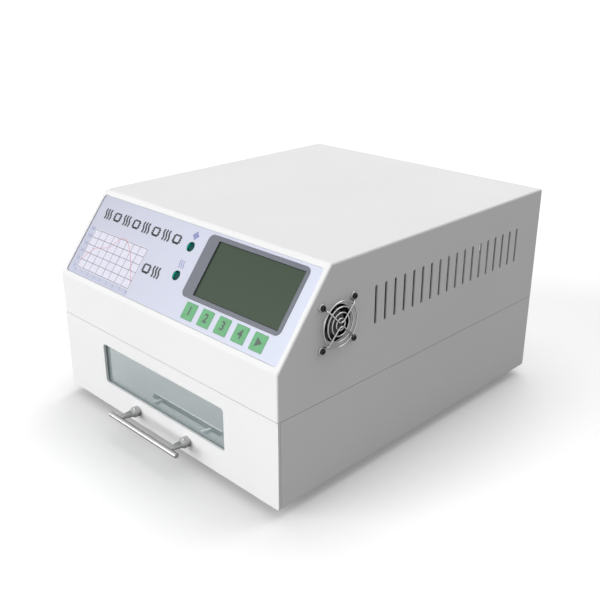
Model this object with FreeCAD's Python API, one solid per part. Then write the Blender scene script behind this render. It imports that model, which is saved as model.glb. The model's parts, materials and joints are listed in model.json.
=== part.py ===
import FreeCAD, Part
import math
import os

from FreeCAD import Placement, Rotation, Vector

# Case, in millimetres; X runs to the right, Y to the back, Z up from the table.
BODY_W = 272.0
BODY_D = 321.0
BODY_H = 172.0
FOOT_H = 8.0
SHEET = 1.2
EDGE_R = 1.6
FOLD_R = 3.0
BEND_R = 2.0
SEAM_RISE = 71.2
SEAM_GAP = 0.4
HEM = 8.0
REAR_FLANGE = 12.0
FIT = 0.3
SMALL_R = 1.0

# Console: the face that leans back above the drawer.
SLOPE_DROP = 64.8
SLOPE_RUN = 51.1
OVERLAY_SIDE = 4.3
OVERLAY_MARGIN = 4.4
OVERLAY_T = 0.5
OVERLAY_R = 3.0
RECESS_D = 1.4
RECESS_RIM = 2.5

# Keys, display and indicator lamps on the console.
KEY = 13.0
KEY_R = 0.8
KEY_COUNT = 5
KEY_PITCH = 18.9
KEY_SIDE = 18.25
KEY_RISE = 8.35
KEY_PLAY = 0.15
KEY_PROUD = 0.15
KEY_LIP = 1.0
KEY_LIP_T = 1.1
KEY_TRAVEL = 0.5
STEM_R = 1.7
STEM_PLAY = 0.2
BEZEL_W = 107.2
BEZEL_SIDE = 10.3
BEZEL_TOP = 6.7
BEZEL_ABOVE_KEYS = 2.3
BEZEL_R = 5.0
BEZEL_PROUD = 0.1
LCD_LEFT = 12.2
LCD_EDGE = 3.5
COLLAR_T = 1.5
COLLAR_DEPTH = 3.8
LCD_GLASS_T = 2.0
LCD_SINK = 1.1
LCD_GLASS_EDGE = 4.0
LCD_BOARD_EDGE = 2.2
BOARD_T = 1.6
BOARD_DEPTH = 12.4
BOARD_EDGE = 13.65
BOARD_RISE = 6.0
DISPLAY_POST_SIDE = 23.8
SWITCH = 6.0
SWITCH_H = 4.3
SWITCH_WELL = 2.4
LED_SIDE = 14.55
LED_LOW = 36.0
LED_HIGH = 60.7
LED_R = 4.0
LED_RIM = 0.4
LED_SINK = 1.3
LED_DOME = 0.5
LED_CROWN = 0.35
LED_LIP_R = 4.8
LED_LIP_T = 2.0
LED_STEM_R = 2.5

# Vent slots in the sides and the back.
SLOT_COUNT = 18
SLOT_PITCH = 11.0
SLOT_Y = 98.4
SLOT_LEN = 30.4
SLOT_W = 2.6
SLOT_DROP = 28.1
REAR_SLOT_COUNT = 8
REAR_SLOT_X = 12.0

# Cooling fans, one on the right side and one at the back, and the wire guard.
FAN = 40.0
FAN_DEPTH = 10.0
FAN_PITCH = 32.0
FAN_CORNER_R = 3.0
FAN_BORE_R = 18.8
FAN_HUB_R = 8.5
FAN_SHAFT_R = 1.0
FAN_RUNNING_FIT = 0.05
FAN_BOSS_R = 3.0
FAN_PLATE_T = 1.5
FAN_STRUT = 2.5
FAN_TIP_GAP = 0.7
FAN_BLADES = 7
BLADE_T = 0.8
BLADE_PITCH = 50.0
CUP_T = 1.0
FAN_Y = 57.3
FAN_DROP = 44.8
FAN_HOLE_R = 13.9
EXHAUST_RISE = 37.0
GRILLE_SLOTS = 5
GUARD_RINGS = 4
GUARD_CORE_R = 4.4
GUARD_STEP = 4.2
WIRE_R = 0.6
WIRE_SIDES = 6
GUARD_RISE = 3.0
GUARD_WELD = 0.2
GUARD_BEND = 4.0
EYE_R = 2.5
RAMP_START = 2.9
RAMP_END = 4.4

# Screws with plain heads.
SCREW_R = 1.45
SCREW_HEAD_R = 2.3
SCREW_HEAD_H = 2.0
HEAD_TAPER = 0.4
SCREW_HOLE_R = 1.55
SHORT_SCREW = 3.5

# Mains socket and rocker switch at the back.
INLET_SIDE = 38.8
INLET_OVER_DECK = 14.3
INLET_W = 27.0
INLET_H = 20.0
INLET_LIP = 2.5
INLET_LIP_T = 2.5
INLET_DEPTH = 22.0
SOCKET_W = 24.0
SOCKET_H = 16.5
SOCKET_DEPTH = 17.0
SOCKET_CHAMFER = 5.0
PIN_W = 2.0
PIN_H = 4.0
PIN_L = 14.0
PIN_SPREAD = 7.0
PIN_DROP = 3.0
ROCKER_STEP = 38.0
ROCKER_W = 10.0
ROCKER_H = 15.0
ROCKER_PLAY = 0.3
ROCKER_TILT = 10.0
ROCKER_PIVOT = 2.0
ROCKER_SWING = 2.0
ROCKER_PROUD = 1.0
ROCKER_DIP = 0.2
ROCKER_KEEL = 3.0
ROCKER_WAIST = 1.5
ROCKER_R = 0.5
ROCKER_DISH_R = 3.0
ROCKER_KEEL_R = 2.0
SWITCH_WALL = 1.5
SWITCH_LIP = 1.6
SWITCH_LIP_T = 1.6
SWITCH_DEPTH = 16.0

# Heating chamber under the upper shell.
SIDE_AIR = 8.8
INSULATION_T = 10.0
LINER_T = 0.8
CONSOLE_DROP = 17.2
REAR_SERVICE = 53.0
PAN_LIFT = 2.6
LIP_DROP = 24.0
HOOD_FOOT = 7.0
DUCT = 33.0
HEATER_R = 5.0
HEATER_COUNT = 4
HEATER_FIRST = 36.0
HEATER_LAST = 36.0
HEATER_DROP = 14.0
CAP = 13.0
CAP_INSIDE = 11.2
CAP_OUTSIDE = 6.0
CAP_BORE = 6.0
CAP_FIT = 0.05
REFLECTOR_T = 0.6
REFLECTOR_SIDE = 14.0
REFLECTOR_RISE = 4.0
PROBE_R = 1.2
PROBE_L = 34.0
PROBE_NUT_R = 3.2
PROBE_NUT_T = 2.5
PROBE_DROP = 28.0
PROBE_FRONT = 70.0
PROBE_REAR = 205.0

# Electronics deck above the chamber.
DECK_GAP = 0.5
DECK_FRONT = 3.0
DECK_REAR = 6.0
STANDOFF_R = 2.6
STANDOFF_H = 6.0
POWER_SIDE = 68.8
POWER_Y = 205.0
POWER_W = 100.0
POWER_D = 76.0
SINK_Y = 226.0
SINK_W = 64.0
SINK_D = 24.0
SINK_H = 26.0
SINK_BASE = 4.0
SINK_FINS = 7
FIN_T = 1.6
TRIAC_W = 10.0
TRIAC_D = 4.5
TRIAC_H = 15.0
TRIAC_LEG = 2.0
TRIAC_LEG_T = 1.0
CORE_SIDE = 72.8
CORE_Y = 215.0
CORE_W = 57.0
CORE_D = 28.0
CORE_H = 47.0
COIL_OVER = 9.0
CORE_LEG = 9.5

# Drawer slides, nested channels on both sides.
SLIDE_T = 10.0
SLIDE_H = 32.0
SLIDE_RISE = 23.0
SLIDE_SHEET = 1.0
SLIDE_FIT = 0.3
SLIDE_REACH = 7.6
SLIDE_FRONT = 4.0
SLIDE_REAR = 10.0

# Drawer front, window and handle.
FRONT_T = 2.0
FRONT_GAP = 0.3
FRONT_TURN = 10.0
FRONT_CLEAR = 1.0
FRONT_R = 1.0
WINDOW_W = 156.0
WINDOW_H = 36.0
WINDOW_RISE = 40.6
WINDOW_R = 3.0
GASKET_T = 1.0
GLASS_T = 4.0
GLASS_EDGE = 4.5
RETAINER_T = 1.0
RETAINER_TAB = 9.0
HANDLE_PITCH = 66.0
HANDLE_RISE = 12.2
HANDLE_REACH = 19.0
BAR_R = 2.2
BAR_L = 88.6
BAR_CHAMFER = 0.4
COLLAR_R = 4.5
COLLAR_L = 5.0
SHOULDER_R = 3.0
SHOULDER_L = 2.4
SHOULDER_CROWN = 0.9
NECK_R = 1.4
SADDLE_FIT = 0.02
BOLT_R = 1.5
BOLT_L = 8.0
BOLT_FIT = 0.05
BOLT_HEAD_R = 3.0
BOLT_HEAD_H = 2.2

# Tray and wire rack that ride with the drawer.
TRAY_T = 1.0
TRAY_RISE = 6.0
TRAY_H = 32.0
TRAY_REAR_H = 24.0
TRAY_REAR_GAP = 18.0
TRAY_FRONT_CLEAR = 1.2
RACK_WIRE_R = 1.0
RACK_BAR_R = 1.5
RACK_WELD = 0.2
RACK_WIRES = 13
RACK_BARS = 3
RACK_RISE = 13.0
RACK_MARGIN = 8.0
RACK_OVERHANG = 16.0

# Feet
FOOT_INSET = 32.0
FOOT_TOP_R = 11.0
FOOT_BASE_R = 9.5
PLUG_R = 3.0
PLUG_FIT = 0.1
PLUG_HEAD_R = 4.0
PLUG_HEAD_H = 1.2

# Places worked out from the sizes above.
TOP_Z = FOOT_H + BODY_H
SEAM_Z = FOOT_H + SEAM_RISE
BASE_TOP = SEAM_Z - SEAM_GAP
FLOOR_Z = FOOT_H + SHEET
SLOPE_Z = TOP_Z - SLOPE_DROP
SLOPE_ANGLE = math.atan2(SLOPE_DROP, SLOPE_RUN)
SLOPE_LEN = math.hypot(SLOPE_DROP, SLOPE_RUN)
HALF_W = BODY_W / 2
INNER_X = HALF_W - SHEET
OVERLAY_X = HALF_W - OVERLAY_SIDE
OVERLAY_TOP = SLOPE_LEN - OVERLAY_MARGIN
OVERLAY_FACE = OVERLAY_T - RECESS_D
KEY_X = OVERLAY_X - KEY_SIDE - KEY - (KEY_COUNT - 1) * KEY_PITCH
BEZEL_X = OVERLAY_X - BEZEL_SIDE - BEZEL_W
LED_X = BEZEL_X - LED_SIDE
LED_RISES = (LED_LOW, LED_HIGH)
BOARD_LEFT = LED_X - BOARD_EDGE
DISPLAY_POST_X = BEZEL_X + DISPLAY_POST_SIDE
WALL_BACK = -RECESS_D - SHEET
HOOD_X = INNER_X - SIDE_AIR - INSULATION_T
HOOD_IN = HOOD_X - LINER_T
HOOD_FRONT = FRONT_T + FRONT_TURN + FRONT_CLEAR
HOOD_BACK = BODY_D - REAR_SERVICE
HOOD_TOP = SLOPE_Z - CONSOLE_DROP
DECK_Z = HOOD_TOP + INSULATION_T + DECK_GAP
DECK_TOP = DECK_Z + SHEET
POWER_X = POWER_SIDE - INNER_X
CORE_X = INNER_X - CORE_SIDE
INLET_X = INLET_SIDE - INNER_X
ROCKER_X = INLET_X + ROCKER_STEP
TRAY_X = HOOD_IN - SLIDE_T
TRAY_Z = FOOT_H + TRAY_RISE
TRAY_BACK = HOOD_BACK - TRAY_REAR_GAP
WINDOW_Z = FOOT_H + WINDOW_RISE
RETAINER_EDGE = GLASS_EDGE + FIT + RETAINER_T
HANDLE_Z = FOOT_H + HANDLE_RISE
EXHAUST_Z = FOOT_H + EXHAUST_RISE
ROCKER_LEVER = SWITCH_LIP_T + ROCKER_PROUD + ROCKER_PIVOT
ROCKER_LEAN = math.radians(ROCKER_TILT)
REAR_REACH = ROCKER_H / 2 * math.sin(ROCKER_LEAN) + ROCKER_LEVER * math.cos(ROCKER_LEAN) - ROCKER_PIVOT
MIDDLE_Y = (BODY_D + REAR_REACH - HANDLE_REACH - BAR_R) / 2

# Turns for outlines that are drawn flat: to face the front, to run along X, and to lie on the console.
UPRIGHT = Rotation(Vector(1, 0, 0), 90)
SIDEWAYS = Rotation(Vector(1, 1, 1), 120)
CONSOLE = Placement(Vector(0, 0, SLOPE_Z), Rotation(Vector(1, 0, 0), math.degrees(SLOPE_ANGLE)))


def block(x0, x1, y0, y1, z0, z1):
    return Part.makeBox(x1 - x0, y1 - y0, z1 - z0, Vector(x0, y0, z0))


def rod(radius, start, end):
    return Part.makeCylinder(radius, (end - start).Length, start, end - start)


def rect(x0, x1, y0, y1):
    return [(x0, y0), (x1, y0), (x1, y1), (x0, y1)]


def outline(points, radii):
    """A closed flat wire through the points, with each corner rounded by its radius."""
    corners = [Vector(x, y, 0) for x, y in points]
    edges = []
    ends = []
    for i, corner in enumerate(corners):
        radius = radii[i]
        if radius <= 0:
            ends.append((corner, corner))
            continue
        back = (corners[i - 1] - corner).normalize()
        ahead = (corners[(i + 1) % len(corners)] - corner).normalize()
        half = back.getAngle(ahead) / 2
        reach = radius / math.tan(half)
        middle = corner + (back + ahead).normalize() * (radius / math.sin(half) - radius)
        ends.append((corner + back * reach, corner + ahead * reach))
        edges.append(Part.Arc(ends[-1][0], middle, ends[-1][1]).toShape())
    for i, (_, leave) in enumerate(ends):
        arrive = ends[(i + 1) % len(ends)][0]
        if (arrive - leave).Length > 1e-6:
            edges.append(Part.LineSegment(leave, arrive).toShape())
    return Part.Wire(Part.__sortEdges__(edges))


def prism(points, radii, low, high):
    """The outlined shape as a solid from height low to height high."""
    if not isinstance(radii, (list, tuple)):
        radii = [radii] * len(points)
    face = Part.Face(outline(points, radii))
    solid = face.extrude(Vector(0, 0, high - low))
    solid.translate(Vector(0, 0, low))
    return solid


def placed(shape, rotation, at=Vector(0, 0, 0)):
    turned = shape.copy()
    turned.Placement = Placement(at, rotation).multiply(turned.Placement)
    return turned


def upright(points, radii, front, back):
    """An outline in X and Z as a plate from Y front to Y back."""
    return placed(prism(points, radii, -back, -front), UPRIGHT)


def sideways(points, radii, left, right):
    """An outline in Y and Z as a prism from X left to X right."""
    return placed(prism(points, radii, left, right), SIDEWAYS)


def on_console(shape):
    laid = shape.copy()
    laid.Placement = CONSOLE.multiply(laid.Placement)
    return laid


def mirrored(shape):
    return shape.mirror(Vector(0, 0, 0), Vector(1, 0, 0))


def both_sides(shape):
    return [shape, mirrored(shape)]


def wire_section(radius):
    """The corners of a round wire's section, drawn with a few flat sides."""
    turns = [2 * math.pi * i / WIRE_SIDES for i in range(WIRE_SIDES)]
    return [(radius * math.cos(turn), radius * math.sin(turn)) for turn in turns]


def straight_wire(radius, start, end):
    wire = prism(wire_section(radius), 0, 0, (end - start).Length)
    return placed(wire, Rotation(Vector(0, 0, 1), end - start), start)


def turned_solid(points):
    """A solid of revolution about Z from points given as radius and height."""
    wire = Part.makePolygon([Vector(r, 0, z) for r, z in points + points[:1]])
    return Part.Face(wire).revolve(Vector(0, 0, 0), Vector(0, 0, 1), 360)


def screw(length, shank_r=SCREW_R, head_r=SCREW_HEAD_R, head_h=SCREW_HEAD_H):
    """A screw along Z whose head sits on height 0."""
    head = Part.makeCone(head_r, head_r - HEAD_TAPER, head_h)
    return head.fuse(Part.makeCylinder(shank_r, length, Vector(0, 0, -length))).removeSplitter()


# Rotations that take a piece built along Z to the way that a wall faces.
TO_RIGHT = Rotation(Vector(0, 0, 1), Vector(1, 0, 0))
TO_BACK = Rotation(Vector(0, 0, 1), Vector(0, 1, 0))
TO_FRONT = Rotation(Vector(0, 0, 1), Vector(0, -1, 0))


def edges_where(shape, test):
    return [edge for edge in shape.Edges if test(edge.BoundBox)]


def near(a, b):
    return abs(a - b) < 1e-4


def fan_corners():
    half = FAN_PITCH / 2
    return [(x, y) for x in (-half, half) for y in (-half, half)]


def shell_body(inset, reach_down, reach_back):
    """The upper shell's outer form, or with an inset the hollow inside it."""
    low = SEAM_Z - reach_down
    back = BODY_D + reach_back
    slant = SLOPE_ANGLE
    fold_low = inset * (1 - math.sin(slant)) / math.cos(slant)
    fold_high = (SLOPE_DROP - inset + inset * math.cos(slant)) / math.sin(slant)

    def point(along):
        y = along * math.cos(slant) + inset * math.sin(slant)
        z = SLOPE_Z + along * math.sin(slant) - inset * math.cos(slant)
        return y, z

    points = [(inset, low), point(fold_low), point(fold_high), (back, TOP_Z - inset), (back, low)]
    radius = FOLD_R - inset
    body = sideways(points, [0, radius, radius, 0, 0], inset - HALF_W, HALF_W - inset)

    def long_edge(box):
        on_side = near(box.XMin, box.XMax) and near(abs(box.XMin), HALF_W - inset)
        return on_side and not near(box.ZMax, low) and not near(box.YMin, back)

    return body.makeFillet(EDGE_R - inset, edges_where(body, long_edge))


def vent_slot(y, z, length, width):
    """A round-ended upright slot that runs along X, centred on Y and Z."""
    half = width / 2
    rise = length / 2
    return sideways(rect(y - half, y + half, z - rise, z + rise), half, -BODY_W, BODY_W)


def console_key_hole(index):
    left = KEY_X + index * KEY_PITCH
    return rect(left - KEY_PLAY, left + KEY + KEY_PLAY, KEY_RISE - KEY_PLAY, KEY_RISE + KEY + KEY_PLAY)


def bezel_rect():
    return rect(BEZEL_X, OVERLAY_X - BEZEL_SIDE, KEY_RISE + KEY + BEZEL_ABOVE_KEYS, SLOPE_LEN - BEZEL_TOP)


def lcd_rect(grow=0.0):
    (x0, y0), _, (x1, y1), _ = bezel_rect()
    return rect(
        x0 + LCD_LEFT - grow,
        x1 - LCD_EDGE + grow,
        y0 + LCD_EDGE - grow,
        y1 - LCD_EDGE + grow,
    )


def grown(points, grow):
    (x0, y0), _, (x1, y1), _ = points
    return rect(x0 - grow, x1 + grow, y0 - grow, y1 + grow)


def overlay_rect(shrink=0.0):
    return rect(
        shrink - OVERLAY_X,
        OVERLAY_X - shrink,
        OVERLAY_MARGIN + shrink,
        OVERLAY_TOP - shrink,
    )


def make_top_cover():
    hollow = shell_body(SHEET, SHEET, SHEET)
    cover = shell_body(0.0, 0.0, 0.0).cut(hollow)
    rear_ring = block(-HALF_W, HALF_W, BODY_D - 2 * SHEET, BODY_D - SHEET, SEAM_Z, TOP_Z)
    rear_open = block(
        REAR_FLANGE - INNER_X,
        INNER_X - REAR_FLANGE,
        0,
        BODY_D,
        0,
        TOP_Z - SHEET - REAR_FLANGE,
    )
    front_hem = block(-INNER_X, INNER_X, SHEET / 2, SHEET + HEM, SEAM_Z, SEAM_Z + SHEET)
    backing = on_console(prism(grown(overlay_rect(), RECESS_RIM), OVERLAY_R, WALL_BACK, -SHEET / 2))
    cover = cover.fuse([rear_ring.cut(rear_open).common(hollow), front_hem, backing])
    cuts = [on_console(prism(overlay_rect(), OVERLAY_R, -RECESS_D, SHEET))]
    cuts.append(on_console(prism(lcd_rect(COLLAR_T + FIT), SMALL_R, 2 * WALL_BACK, SHEET)))
    for index in range(KEY_COUNT):
        cuts.append(on_console(prism(console_key_hole(index), KEY_R, 2 * WALL_BACK, SHEET)))
    for rise in LED_RISES:
        hole = Part.makeCylinder(LED_R + KEY_PLAY, -3 * WALL_BACK, Vector(LED_X, rise, 2 * WALL_BACK))
        cuts.append(on_console(hole))
    for index in range(SLOT_COUNT):
        z = TOP_Z - SLOT_DROP - SLOT_LEN / 2
        cuts.append(vent_slot(SLOT_Y + index * SLOT_PITCH, z, SLOT_LEN, SLOT_W))
    fan_middle = Vector(INNER_X - SHEET, FAN_Y, TOP_Z - FAN_DROP)
    holes = [Part.makeCylinder(FAN_HOLE_R, 4 * SHEET)]
    for x, y in fan_corners():
        holes.append(Part.makeCylinder(SCREW_HOLE_R, 4 * SHEET, Vector(x, y, 0)))
    cuts += [placed(hole, TO_RIGHT, fan_middle) for hole in holes]
    cuts += [rod(SCREW_HOLE_R, at - Vector(0, 3 * SHEET, 0), at) for at in cover_screw_places()]
    return cover.cut(cuts).removeSplitter()


def cover_screw_places():
    """Where screws go through the back panel into the upper shell's flange."""
    side = INNER_X - REAR_FLANGE / 2
    high = TOP_Z - SHEET - REAR_FLANGE / 2
    low = SEAM_Z + REAR_FLANGE
    places = [Vector(x, BODY_D, z) for x in (-side, side) for z in (low, high)]
    return places + [Vector(0, BODY_D, high)]


def base_screw_places():
    """Where screws go through the base's back wall into the back panel's tongue."""
    reach = INNER_X - 3 * REAR_FLANGE
    return [Vector(x, BODY_D, BASE_TOP - REAR_FLANGE / 2) for x in (-reach, 0, reach)]


def foot_places():
    x = HALF_W - FOOT_INSET
    return [(-x, FOOT_INSET), (x, FOOT_INSET), (-x, BODY_D - FOOT_INSET), (x, BODY_D - FOOT_INSET)]


def tub(inset, front, top):
    """The base's outer form, or with an inset the hollow inside it."""
    body = block(inset - HALF_W, HALF_W - inset, front, BODY_D - inset, FOOT_H + inset, top)

    def lower_bend(box):
        return near(box.ZMax, FOOT_H + inset) and not near(box.YMax, front)

    return body.makeFillet(BEND_R - inset, edges_where(body, lower_bend))


def exhaust_slots():
    """Horizontal slots that together fill the fan's round mouth."""
    pitch = 2 * FAN_HOLE_R / GRILLE_SLOTS
    slots = []
    for index in range(GRILLE_SLOTS):
        drop = (index - (GRILLE_SLOTS - 1) / 2) * pitch
        reach = math.sqrt(FAN_HOLE_R**2 - drop**2)
        half = SLOT_W / 2
        shape = rect(-reach, reach, EXHAUST_Z + drop - half, EXHAUST_Z + drop + half)
        slots.append(upright(shape, half, BODY_D - 2 * SHEET, BODY_D + SHEET))
    return slots


def make_base_housing():
    front = FRONT_T + FRONT_GAP
    base = tub(0.0, front, BASE_TOP).cut(tub(SHEET, front - SHEET, BASE_TOP + SHEET))
    hem = block(INNER_X - HEM, INNER_X + SHEET / 2, front, BODY_D - SHEET / 2, BASE_TOP - SHEET, BASE_TOP)
    base = base.fuse(both_sides(hem))
    cuts = exhaust_slots()
    for x, y in foot_places():
        cuts.append(rod(PLUG_R + PLUG_FIT, Vector(x, y, 0), Vector(x, y, FLOOR_Z + SHEET)))
    for x, z in fan_corners():
        at = Vector(x, BODY_D, EXHAUST_Z + z)
        cuts.append(rod(SCREW_HOLE_R, at - Vector(0, 2 * SHEET, 0), at))
    cuts += [rod(SCREW_HOLE_R, at - Vector(0, 3 * SHEET, 0), at) for at in base_screw_places()]
    return base.cut(cuts).removeSplitter()


def inlet_z():
    return DECK_TOP + INLET_OVER_DECK


def make_rear_panel():
    wide = INNER_X - FIT
    corner = EDGE_R
    plate = upright(
        rect(-wide, wide, SEAM_Z, TOP_Z - SHEET - FIT),
        [0, 0, corner, corner],
        BODY_D - SHEET,
        BODY_D,
    )
    reach = INNER_X - REAR_FLANGE - FIT
    tongue = block(
        -reach,
        reach,
        BODY_D - 2 * SHEET,
        BODY_D - SHEET,
        BASE_TOP - REAR_FLANGE,
        SEAM_Z + REAR_FLANGE / 2,
    )
    panel = plate.fuse(tongue)
    z = inlet_z()
    front = BODY_D - 3 * SHEET
    back = BODY_D + SHEET
    cuts = [
        upright(grown(inlet_rect(), FIT), SMALL_R, front, back),
        upright(grown(switch_rect(), FIT), SMALL_R, front, back),
    ]
    for index in range(REAR_SLOT_COUNT):
        x = REAR_SLOT_X + index * SLOT_PITCH
        half = SLOT_W / 2
        slot = rect(x - half, x + half, z - SLOT_LEN / 2, z + SLOT_LEN / 2)
        cuts.append(upright(slot, half, front, back))
    for at in cover_screw_places() + base_screw_places():
        cuts.append(rod(SCREW_HOLE_R, at - Vector(0, 3 * SHEET, 0), at))
    return panel.cut(cuts).removeSplitter()


def make_case_screws():
    places = cover_screw_places() + base_screw_places()
    return [placed(screw(SHORT_SCREW), TO_BACK, at) for at in places]


def make_feet():
    feet = []
    for x, y in foot_places():
        foot = Part.makeCone(FOOT_BASE_R, FOOT_TOP_R, FOOT_H, Vector(x, y, 0))
        plug = rod(PLUG_R, Vector(x, y, FOOT_H), Vector(x, y, FLOOR_Z))
        head = rod(PLUG_HEAD_R, Vector(x, y, FLOOR_Z), Vector(x, y, FLOOR_Z + PLUG_HEAD_H))
        feet.append(foot.fuse([plug, head]).removeSplitter())
    return feet


# Console pieces, drawn with X to the right, Y up the slope and Z out of the face.
def make_control_overlay():
    sheet = prism(overlay_rect(KEY_PLAY), OVERLAY_R - KEY_PLAY, -RECESS_D, OVERLAY_FACE)
    cuts = [prism(grown(bezel_rect(), KEY_PLAY), BEZEL_R, -2 * RECESS_D, 0)]
    for index in range(KEY_COUNT):
        cuts.append(prism(console_key_hole(index), KEY_R, -2 * RECESS_D, 0))
    for rise in LED_RISES:
        cuts.append(Part.makeCylinder(LED_R + KEY_PLAY, 2 * RECESS_D, Vector(LED_X, rise, -2 * RECESS_D)))
    return on_console(sheet.cut(cuts))


def make_lcd_bezel():
    frame = prism(bezel_rect(), BEZEL_R, -RECESS_D, OVERLAY_FACE + BEZEL_PROUD)
    collar = prism(lcd_rect(COLLAR_T), SMALL_R, -COLLAR_DEPTH, -RECESS_D)
    window = prism(lcd_rect(), SMALL_R / 2, -2 * COLLAR_DEPTH, SHEET)
    return on_console(frame.fuse(collar).cut(window).removeSplitter())


def make_lcd_glass():
    """The display's pane: a flange behind the bezel's collar and a view that rises inside it."""
    flange = prism(lcd_rect(LCD_GLASS_EDGE), SMALL_R, -COLLAR_DEPTH - LCD_GLASS_T, -COLLAR_DEPTH)
    view = prism(lcd_rect(-FIT), SMALL_R / 2, -COLLAR_DEPTH - FIT, OVERLAY_FACE + BEZEL_PROUD - LCD_SINK)
    return on_console(flange.fuse(view).removeSplitter())


def lcd_board_back():
    return -COLLAR_DEPTH - LCD_GLASS_T - BOARD_T


def make_lcd_board():
    edge = LCD_GLASS_EDGE + LCD_BOARD_EDGE
    return on_console(prism(lcd_rect(edge), SMALL_R, lcd_board_back(), lcd_board_back() + BOARD_T))


def control_board_rect():
    right = OVERLAY_X - BEZEL_SIDE + LCD_BOARD_EDGE
    return rect(BOARD_LEFT, right, BOARD_RISE, OVERLAY_TOP - LCD_EDGE)


def make_control_board():
    return on_console(prism(control_board_rect(), SMALL_R, -BOARD_DEPTH - BOARD_T, -BOARD_DEPTH))


def console_standoffs():
    """Posts from the console to its board, and from the display's board to it."""
    (left, low), _, (right, high), _ = control_board_rect()
    inset = 2 * STANDOFF_R
    posts = []
    corners = [(left + inset, low + inset), (left + inset, high - inset), (right - STANDOFF_R, low + inset)]
    for x, y in corners:
        posts.append(hexagon_post(x, y, -BOARD_DEPTH, WALL_BACK))
    for x in (DISPLAY_POST_X, right - inset):
        posts.append(hexagon_post(x, high - inset, -BOARD_DEPTH, lcd_board_back()))
    return [on_console(post) for post in posts]


def hexagon_post(x, y, low, high):
    turn = math.pi / 3
    points = [(x + STANDOFF_R * math.cos(i * turn), y + STANDOFF_R * math.sin(i * turn)) for i in range(6)]
    return prism(points, 0, low, high)


def key_middle(index):
    return KEY_X + index * KEY_PITCH + KEY / 2, KEY_RISE + KEY / 2


def make_key(index):
    x, y = key_middle(index)
    half = KEY / 2
    lip_top = WALL_BACK - FIT
    cap = prism(rect(x - half, x + half, y - half, y + half), KEY_R, lip_top, OVERLAY_FACE + KEY_PROUD)
    wide = half + KEY_LIP
    lip = prism(rect(x - wide, x + wide, y - wide, y + wide), KEY_R, lip_top - KEY_LIP_T, lip_top)
    stem_end = SWITCH_H - BOARD_DEPTH - SWITCH_WELL + KEY_TRAVEL + FIT
    stem = rod(STEM_R, Vector(x, y, stem_end), Vector(x, y, lip_top - KEY_LIP_T))
    return on_console(cap.fuse([lip, stem]).removeSplitter())


def make_key_switches():
    switches = []
    half = SWITCH / 2
    top = SWITCH_H - BOARD_DEPTH
    for index in range(KEY_COUNT):
        x, y = key_middle(index)
        body = block(x - half, x + half, y - half, y + half, -BOARD_DEPTH, top)
        well = rod(STEM_R + STEM_PLAY, Vector(x, y, top - SWITCH_WELL), Vector(x, y, top + SWITCH_WELL))
        switches.append(on_console(body.cut(well)))
    return switches


def make_led(rise):
    face = OVERLAY_FACE
    lip = WALL_BACK - KEY_PLAY
    points = [
        (0, -BOARD_DEPTH),
        (LED_STEM_R, -BOARD_DEPTH),
        (LED_STEM_R, lip - LED_LIP_T),
        (LED_LIP_R, lip - LED_LIP_T),
        (LED_LIP_R, lip),
        (LED_R, lip),
        (LED_R, face),
        (LED_R - LED_RIM, face),
        (LED_R - LED_RIM, face - LED_SINK),
        (LED_R / 2, face - LED_SINK + LED_CROWN),
        (0, face - LED_SINK + LED_DOME),
    ]
    lamp = turned_solid(points)
    lamp.translate(Vector(LED_X, rise, 0))
    return on_console(lamp)


# Fans are built with their air blowing along Z and their outlet face on height FAN_DEPTH.
def fan_frame():
    half = FAN / 2
    body = prism(rect(-half, half, -half, half), FAN_CORNER_R, 0, FAN_DEPTH)
    body = body.cut(Part.makeCylinder(FAN_BORE_R, FAN_DEPTH))
    arms = Part.makeCylinder(FAN_HUB_R, FAN_PLATE_T)
    strut = FAN_STRUT / 2
    reach = FAN_BORE_R + FIT
    arms = arms.fuse(
        [
            block(-reach, reach, -strut, strut, 0, FAN_PLATE_T),
            block(-strut, strut, -reach, reach, 0, FAN_PLATE_T),
        ]
    )
    boss = Part.makeCylinder(FAN_BOSS_R, FAN_DEPTH / 2, Vector(0, 0, FAN_PLATE_T))
    frame = body.fuse([arms, boss])
    cuts = [Part.makeCylinder(FAN_SHAFT_R + FAN_RUNNING_FIT, FAN_DEPTH)]
    for x, y in fan_corners():
        cuts.append(Part.makeCylinder(SCREW_HOLE_R, FAN_DEPTH, Vector(x, y, 0)))
    return frame.cut(cuts).removeSplitter()


def fan_rotor():
    low = FAN_PLATE_T + FIT
    high = FAN_DEPTH - 2 * FIT
    cup = Part.makeCylinder(FAN_HUB_R, high - low, Vector(0, 0, low))
    well = Part.makeCylinder(FAN_HUB_R - CUP_T, high - low - CUP_T, Vector(0, 0, low))
    shaft = Part.makeCylinder(FAN_SHAFT_R, high - low, Vector(0, 0, low))
    tip = FAN_BORE_R - FAN_TIP_GAP
    middle = (low + high) / 2
    reach = (high - low) / 2 - FIT
    chord = reach / math.cos(math.radians(BLADE_PITCH)) - BLADE_T * math.tan(math.radians(BLADE_PITCH)) / 2
    blades = []
    for index in range(FAN_BLADES):
        blade = block(FAN_HUB_R - CUP_T / 2, FAN_BORE_R, -BLADE_T / 2, BLADE_T / 2, -chord, chord)
        blade.rotate(Vector(0, 0, 0), Vector(1, 0, 0), -BLADE_PITCH)
        blade.translate(Vector(0, 0, middle))
        blade.rotate(Vector(0, 0, 0), Vector(0, 0, 1), index * 360 / FAN_BLADES)
        blades.append(blade)
    sweep = Part.makeCylinder(tip, high - low, Vector(0, 0, low))
    wings = [blade.common(sweep) for blade in blades]
    return cup.fuse(wings).cut(well).fuse(shaft).removeSplitter()


def side_fan(shape):
    return placed(shape, TO_RIGHT, Vector(INNER_X - FAN_DEPTH, FAN_Y, TOP_Z - FAN_DROP))


def exhaust_fan(shape):
    return placed(shape, TO_BACK, Vector(0, BODY_D - SHEET - FAN_DEPTH, EXHAUST_Z))


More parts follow.
